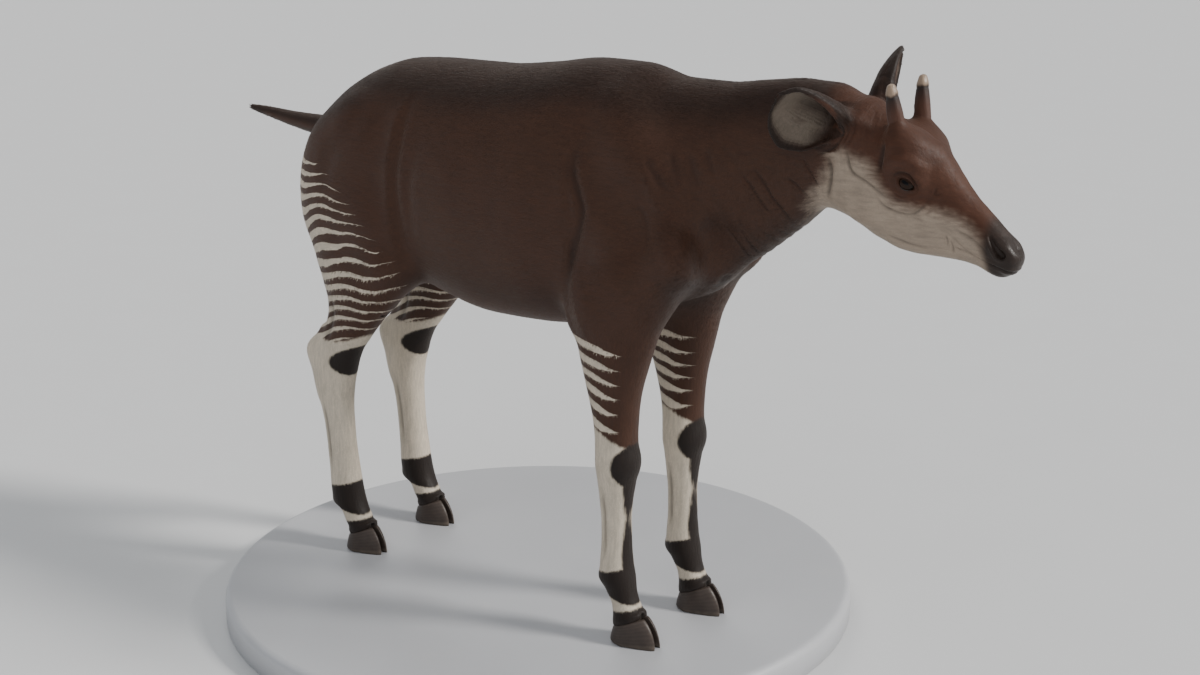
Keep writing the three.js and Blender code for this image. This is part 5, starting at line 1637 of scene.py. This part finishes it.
class OKAPI_OT_coat(bpy.types.Operator):
    """Grow flat tufts along the lie of the coat, smallest on the face and feet"""

    bl_idname = "okapi.coat"
    bl_label = "Coat"
    PIECES = 8

    def between(self, corners, u, v):
        """Values inside faces, from those at their four corners."""
        a, b, c, d = corners
        return (a * (1 - u) + b * u) * (1 - v) + (d * (1 - u) + c * u) * v

    def execute(self, context):
        coat = context.scene.okapi_coat
        points, normals, faces, crease = read_skin(bpy.data.objects["skin"])
        rng = np.random.default_rng(SEED)
        a, b, c, d = (points[faces[:, i]] for i in range(4))
        area = 0.5 * np.linalg.norm(np.cross(c - a, d - b), axis=1)
        chance = area * hair_plan((a + b + c + d) / 4, unit(normals[faces].mean(1)), coat)[3]
        chosen = faces[rng.choice(len(faces), coat.tufts, p=chance / chance.sum())]
        u, v = rng.uniform(0, 1, (2, coat.tufts, 1))
        roots, up = (self.between(values[chosen].swapaxes(0, 1), u, v) for values in (points, normals))
        up = unit(up)
        # Each tuft carries the painted crease shade at its root, and is shorter in a crease
        crease = crease[chosen].mean(1)
        length, width, lift, _ = hair_plan(roots, up, coat)
        length = length * (1 - 0.4 * crease)
        material = coat_material("tuft_coat", coat, hair=True)
        order = np.argsort(roots[:, 0], kind="stable")
        for i, part in enumerate(np.array_split(order, self.PIECES)):
            lie = lie_of_coat(roots[part], up[part])
            tufts = Tufts(roots[part], up[part], lie, length[part], width[part], lift[part], rng)
            piece = tufts.build(f"coat_{i + 1}", material, crease=crease[part])
        return {"FINISHED"}


class OKAPI_OT_eyes(bpy.types.Operator):
    """Make both eyeballs, the dark rims of their lids and the upper lashes"""

    bl_idname = "okapi.eyes"
    bl_label = "Eyes"
    RINGS, ROUND = 40, 64
    CORNEA = 1.7

    def local(self, along, high, out):
        """Points from their places along, up and out of the eye."""
        return EYE_CENTRE + along[:, None] * EYE_FORWARD + high[:, None] * EYE_UP + out[:, None] * EYE_OUTWARD

    def on_ball(self, along, high, radius):
        """Points of a ball round the eye, on its outer side."""
        return self.local(along, high, np.sqrt(np.maximum(radius**2 - along**2 - high**2, 1)))

    def eyeball(self, side, material):
        """A ball with a slightly bulging cornea."""
        polar = np.linspace(0, math.pi, self.RINGS + 1)[1:-1]
        theta, phi = np.meshgrid(polar, full_turn(self.ROUND), indexing="ij")
        ways = [np.sin(theta) * np.cos(phi), np.sin(theta) * np.sin(phi), np.cos(theta)]
        along, high, out = (np.append(way, ends) for way, ends in zip(ways, ([0, 0], [0, 0], [1, -1])))
        cornea = self.CORNEA * mound(theta**2, 0.62**2)
        size = EYE_RADIUS - 0.4 + np.append(cornea, [self.CORNEA, 0])
        quads = ring_quads(self.RINGS - 1, self.ROUND)[:, [0, 3, 2, 1]]
        fans = end_fans(self.RINGS - 1, self.ROUND)[:, [0, 2, 1]]
        points, faces = for_side(SIDES[side], self.local(size * along, size * high, size * out), quads, fans)
        level = np.where(out > 0, high, 1.0)
        piece = mesh_object(f"eyeball_{side}", place(points), faces, material,
                            gaze_along=along, gaze_high=level)
        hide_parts(f"eye_{side}")

    def lid_rim(self, side, material):
        """A soft dark margin round the almond opening, lying on the eyeball."""
        steps, section = 96, 10
        turn = full_turn(steps)
        along = LID_LENGTH / 2 * 1.01 * np.cos(turn)
        high = np.sign(np.sin(turn)) * lid_edge(np.cos(turn)) * LID_HEIGHT / 2 * 1.01
        line = self.on_ball(along, high, EYE_RADIUS + 1.4)
        tangent = unit(np.roll(line, -1, 0) - np.roll(line, 1, 0))
        outward = unit(line - EYE_CENTRE)
        across = np.cross(tangent, outward) * (1.5 - 0.4 * np.abs(np.cos(turn)) ** 6)[:, None]
        cos, sin = (f(full_turn(section))[None, :, None] for f in (np.cos, np.sin))
        points = (line[:, None] + across[:, None] * cos + outward[:, None] * sin * 1.5).reshape(-1, 3)
        quads = ring_quads(steps, section, closed=True)[:, [0, 3, 2, 1]]
        points, faces = for_side(SIDES[side], points, quads)
        piece = mesh_object(f"lid_rim_{side}", place(points), faces, material)

    def lashes(self, side, length, material):
        """A fringe of thin curved lashes along the upper lid."""
        count, rings, corners = 46, 3, 3
        turn = np.linspace(0.18 * math.pi, 0.9 * math.pi, count)
        along = LID_LENGTH / 2 * np.cos(turn)
        root = self.on_ball(along, lid_edge(np.cos(turn)) * LID_HEIGHT / 2 + 0.6, EYE_RADIUS + 2.0)
        rng = np.random.default_rng(SEED)
        reach = length * np.sin(turn) ** 0.4 * rng.uniform(0.8, 1.1, count)
        way = EYE_OUTWARD + 0.02 * along[:, None] * EYE_FORWARD + rng.normal(0, 0.05, (count, 3))
        share = np.linspace(0, 1, rings)
        curl = (0.45 * share**2 - 0.35 * share)[None, :, None] * EYE_UP
        spine = root[:, None] + reach[:, None, None] * (share[None, :, None] * way[:, None] + curl)
        thick = 0.42 * (1 - 0.85 * share)
        turn = full_turn(corners)[:, None]
        section = np.cos(turn) * EYE_FORWARD + np.sin(turn) * EYE_UP
        points = (spine[:, :, None] + thick[None, :, None, None] * section).reshape(-1, 3)
        first = (np.arange(count) * rings * corners)[:, None, None]
        points, faces = for_side(SIDES[side], points, (first + ring_quads(rings, corners)).reshape(-1, 4))
        piece = mesh_object(f"lashes_{side}", place(points), faces, material)

    def execute(self, context):
        lash = context.scene.okapi_head.lash / MM
        eye = eye_material(context.scene.okapi_head)
        lid = lid_material(context.scene.okapi_coat)
        for side in SIDES:
            self.eyeball(side, eye)
            self.lid_rim(side, lid)
            self.lashes(side, lash, lid)
        return {"FINISHED"}


class OKAPI_OT_horns(bpy.types.Operator):
    """Make the two ossicones, haired to near their worn tips"""

    bl_idname = "okapi.horns"
    bl_label = "Ossicones"
    RINGS, ROUND = 90, 56

    def execute(self, context):
        scene = context.scene
        material = horn_skin_material(scene.okapi_coat, scene.okapi_head)
        radius = Curve([0, 0.52, 0.66, 0.75, 0.84, 0.875, 0.94, 0.975, 0.99, 1],
                       [16, 18.5, 18.2, 16.8, 14.4, 13.7, 11.2, 9.0, 6.2, 0.4])
        share = 1 - (1 - np.linspace(0, 1, self.RINGS)) ** 1.35
        s, a = np.meshgrid(share, full_turn(self.ROUND), indexing="ij")
        for side, sign in SIDES.items():
            foot, tip = (head_point(t, sign * y, w) for t, y, w in (HORN_FOOT, HORN_TIP[side]))
            axis = tip - foot
            length = np.linalg.norm(axis)
            axis /= length
            fore = np.array([HEAD_COS, 0, -HEAD_SIN])
            fore = fore - fore @ axis * axis
            fore /= np.linalg.norm(fore)
            beside = np.cross(axis, fore)
            knob = 0.8 * mound(s - 0.9, 0.03) - 0.7 * mound(s - 0.855, 0.012)
            ridges = 0.45 * np.sin(3 * a + 5 * s) + 0.3 * np.sin(7 * a + 9 * s + sign)
            half = radius(s) + knob + ridges * step_between(s, 1.0, 0.9)
            bend = 5 * np.sin(math.pi * s)
            points = foot + (s * length)[..., None] * axis + (half * np.cos(a) - bend)[..., None] * fore
            points = (points + (half * np.sin(a))[..., None] * beside).reshape(-1, 3)
            faces = [ring_quads(self.RINGS, self.ROUND), *end_caps(self.RINGS, self.ROUND)]
            piece = mesh_object(f"horn_{side}", place(points), faces, material, height=s.ravel())
            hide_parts(f"ossicone_{side}")
        return {"FINISHED"}


class OKAPI_OT_hooves(bpy.types.Operator):
    """Make the two claws of each foot"""

    bl_idname = "okapi.hooves"
    bl_label = "Hooves"
    GAP, CLEARANCE = 5, 0.3
    LEVELS, ROUND = 18, 48

    def claw(self, name, which, material):
        """One claw, full on its outer face, flat on its inner one and open towards the toe."""
        fore = name.startswith("fore")
        side = SIDES[name.split("_")[1]]
        out = side if which == "outer" else -side
        curves, left, toe, heel = (FORELEG, FORE_SWING, 88, 56) if fore else (HINDLEG, HIND_SWING, 84, 54)
        centre_x = HOOF_X[name.split("_")[0]] + (left if side > 0 else 0)
        centre_y = side * float(curves[2](56.0))
        share, turn = np.meshgrid(np.linspace(0, 1, self.LEVELS), full_turn(self.ROUND), indexing="ij")
        inset = 2.2 * np.exp(-share * 16) + 1.2 * np.exp(-(1 - share) * 16)
        half = 26.5 - 4.5 * share - inset
        cos, sin = np.cos(turn), np.sin(turn)
        front = toe - 40 * share + 7 * np.sin(math.pi * share) - inset
        along = np.where(cos > 0, front * cos, (heel - 9 * share**1.5 - 3.5 * inset * (1 - share)) * cos)
        taper = np.where(cos > 0, 1 - (0.42 - 0.2 * share) * cos, 1)
        fullness = np.where(cos > 0, 0.98, 0.8)
        parting = 7 * np.maximum(cos, 0) ** 2.2 * (1 - 0.45 * share)
        across = parting + (half * 1.85 - 0.6 * parting) * np.abs(sin) ** fullness * taper
        inner = 1.2 * np.sin(math.pi * share) * (1 - cos**2) + inset + parting
        ripple = 0.14 * np.sin(share**1.3 * 31 + 1.5 * cos + 0.8 * np.sin(3 * turn))
        ripple = ripple * np.where(sin > 0, 1, 0.2)
        across = np.where(sin > 0, across, inner) + ripple
        rise = share * (HOOF_TOP + along * math.tan(HOOF_TILT))
        y = centre_y + out * (self.GAP / 2 + across)
        points = np.stack([centre_x + along, y, self.CLEARANCE + rise], -1).reshape(-1, 3)
        faces = [ring_quads(self.LEVELS, self.ROUND), *end_caps(self.LEVELS, self.ROUND)]
        if out < 0:
            faces = [f[:, ::-1] for f in faces]
        piece = mesh_object(f"hoof_{name}_{which}", place(points), faces, material, height=share.ravel())
        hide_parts(f"claw_{name}_{which}")

    def execute(self, context):
        material = hoof_material(context.scene.okapi_stand)
        for name in LEGS:
            for which in ("inner", "outer"):
                self.claw(name, which, material)
        return {"FINISHED"}


class OKAPI_OT_base(bpy.types.Operator):
    """Make the round display base with its rounded upper edge"""

    bl_idname = "okapi.base"
    bl_label = "Base"
    ROUND, ARC = 256, 10
    CHAMFER, SETBACK = 0.003, 0.004

    def execute(self, context):
        stand = context.scene.okapi_stand
        low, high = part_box("stand_base")
        radius, bevel = (high.x - low.x) / 2, stand.bevel
        arc = np.linspace(0, math.pi / 2, self.ARC)
        wall_top = high.z - bevel - self.SETBACK
        outline = [(radius - self.CHAMFER, 0), (radius, self.CHAMFER), (radius, wall_top)]
        outline += [(radius - bevel + bevel * math.cos(a), high.z - bevel + bevel * math.sin(a)) for a in arc]
        outline += [(r * (radius - bevel), high.z) for r in (0.985, 0.9, 0.75, 0.6, 0.45, 0.3, 0.15)]
        r, z = (np.repeat(values, self.ROUND) for values in zip(*outline))
        turn = np.tile(full_turn(self.ROUND), len(outline))
        points = np.stack([r * np.cos(turn), r * np.sin(turn), z], -1)
        points = np.concatenate([points, [[0, 0, 0], [0, 0, high.z]]])
        points[:, :2] += [(low.x + high.x) / 2, (low.y + high.y) / 2]
        faces = [ring_quads(len(outline), self.ROUND), end_fans(len(outline), self.ROUND)]
        # How far onto the rounded rim each point lies, for the painted highlight there
        rim = step_between(np.append(r, [0, 0]), radius - bevel * 1.6, radius)
        piece = mesh_object("display_base", points, faces, base_material(stand), rim=rim)
        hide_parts("stand_base")
        return {"FINISHED"}


class OKAPI_OT_stage(bpy.types.Operator):
    """Set the camera, the pale floor and the soft lights"""

    bl_idname = "okapi.stage"
    bl_label = "Stage"
    CAMERA_PLACE = (3.043, -3.374, 1.980)
    CAMERA_VIEW = (-0.6191, 0.7421, -0.2571)
    FLOOR_SIZE = 240.0

    def light(self, name, from_way, strength, softness, colour):
        """A distant lamp of a soft disc, softness degrees across."""
        data = bpy.data.lights.new(name, "SUN")
        data.energy = strength
        data.angle = math.radians(softness)
        data.color = colour
        lamp = bpy.data.objects.new(name, data)
        lamp.rotation_euler = (-Vector(from_way)).to_track_quat("-Z", "Y").to_euler()
        lamp.visible_glossy = softness < 20
        bpy.context.scene.collection.objects.link(lamp)

    def execute(self, context):
        stage = context.scene.okapi_stage
        camera = bpy.data.objects.new("camera", bpy.data.cameras.new("camera"))
        camera.location = self.CAMERA_PLACE
        camera.rotation_euler = Vector(self.CAMERA_VIEW).to_track_quat("-Z", "Y").to_euler()
        camera.data.lens = stage.lens
        camera.data.sensor_width = 36
        camera.data.sensor_fit = "HORIZONTAL"
        camera.data.clip_end = 100
        context.scene.collection.objects.link(camera)
        context.scene.camera = camera
        g = Graph("floor", Specular_IOR_Level=0.2)
        position = g.node("NewGeometry").outputs["Position"]
        speckle = g.noise(position, 3.0, 2.0)
        g.set("Base Color", g.mix(speckle, tint(stage.floor, 0.97), stage.floor))
        g.set("Roughness", 0.75 + speckle * 0.1)
        half = self.FLOOR_SIZE / 2
        corners = [(-half, -half, 0), (half, -half, 0), (half, half, 0), (-half, half, 0)]
        mesh = bpy.data.meshes.new("floor")
        mesh.from_pydata(corners, [], [(0, 1, 2, 3)])
        mesh.materials.append(g.material)
        floor = bpy.data.objects.new("floor", mesh)
        context.scene.collection.objects.link(floor)
        world = bpy.data.worlds.new("studio")
        world.use_nodes = True
        background = world.node_tree.nodes["Background"]
        background.inputs["Color"].default_value = (0.86, 0.89, 0.93, 1)
        background.inputs["Strength"].default_value = stage.sky
        context.scene.world = world
        self.light("key", (0.80, 0.34, 0.62), stage.key, 12, (1.0, 0.97, 0.93))
        self.light("fill", (0.35, -0.85, 0.75), 0.30 * stage.key, 70, (0.94, 0.97, 1.0))
        self.light("rim", (-0.70, 0.45, 0.60), 0.30 * stage.key, 30, (1.0, 0.98, 0.95))
        return {"FINISHED"}


class OKAPI_PT_panel(bpy.types.Panel):
    """The okapi's pieces and settings"""

    bl_idname = "OKAPI_PT_panel"
    bl_label = "Okapi"
    bl_space_type = "VIEW_3D"
    bl_region_type = "UI"
    bl_category = "Okapi"

    def draw(self, context):
        for operator in OPERATORS:
            self.layout.operator(operator.bl_idname)
        for name, group in SETTINGS.items():
            box = self.layout.box()
            box.label(text=name.replace("_", " "))
            for key in group.__annotations__:
                box.prop(getattr(context.scene, name), key)


SETTINGS = {
    "okapi_skin": OkapiSkinSettings,
    "okapi_coat": OkapiCoatSettings,
    "okapi_head": OkapiHeadSettings,
    "okapi_stand": OkapiStandSettings,
    "okapi_stage": OkapiStageSettings,
}
OPERATORS = [OKAPI_OT_stage, OKAPI_OT_base, OKAPI_OT_hooves, OKAPI_OT_horns, OKAPI_OT_eyes,
             OKAPI_OT_skin, OKAPI_OT_coat]


def register():
    """Adds the settings, operators and panel to Blender."""
    for group in SETTINGS.values():
        bpy.utils.register_class(group)
    for name, group in SETTINGS.items():
        setattr(bpy.types.Scene, name, bpy.props.PointerProperty(type=group))
    for operator in OPERATORS:
        bpy.utils.register_class(operator)
    bpy.utils.register_class(OKAPI_PT_panel)


def unregister():
    """Takes the settings, operators and panel out again."""
    bpy.utils.unregister_class(OKAPI_PT_panel)
    for operator in reversed(OPERATORS):
        bpy.utils.unregister_class(operator)
    for name, group in SETTINGS.items():
        delattr(bpy.types.Scene, name)
        bpy.utils.unregister_class(group)


def main():
    """Builds the stage and every piece."""
    register()
    bpy.ops.okapi.stage()
    bpy.ops.okapi.base()
    bpy.ops.okapi.hooves()
    bpy.ops.okapi.horns()
    bpy.ops.okapi.eyes()
    bpy.ops.okapi.skin()
    bpy.ops.okapi.coat()


if __name__ == "__main__":
    main()
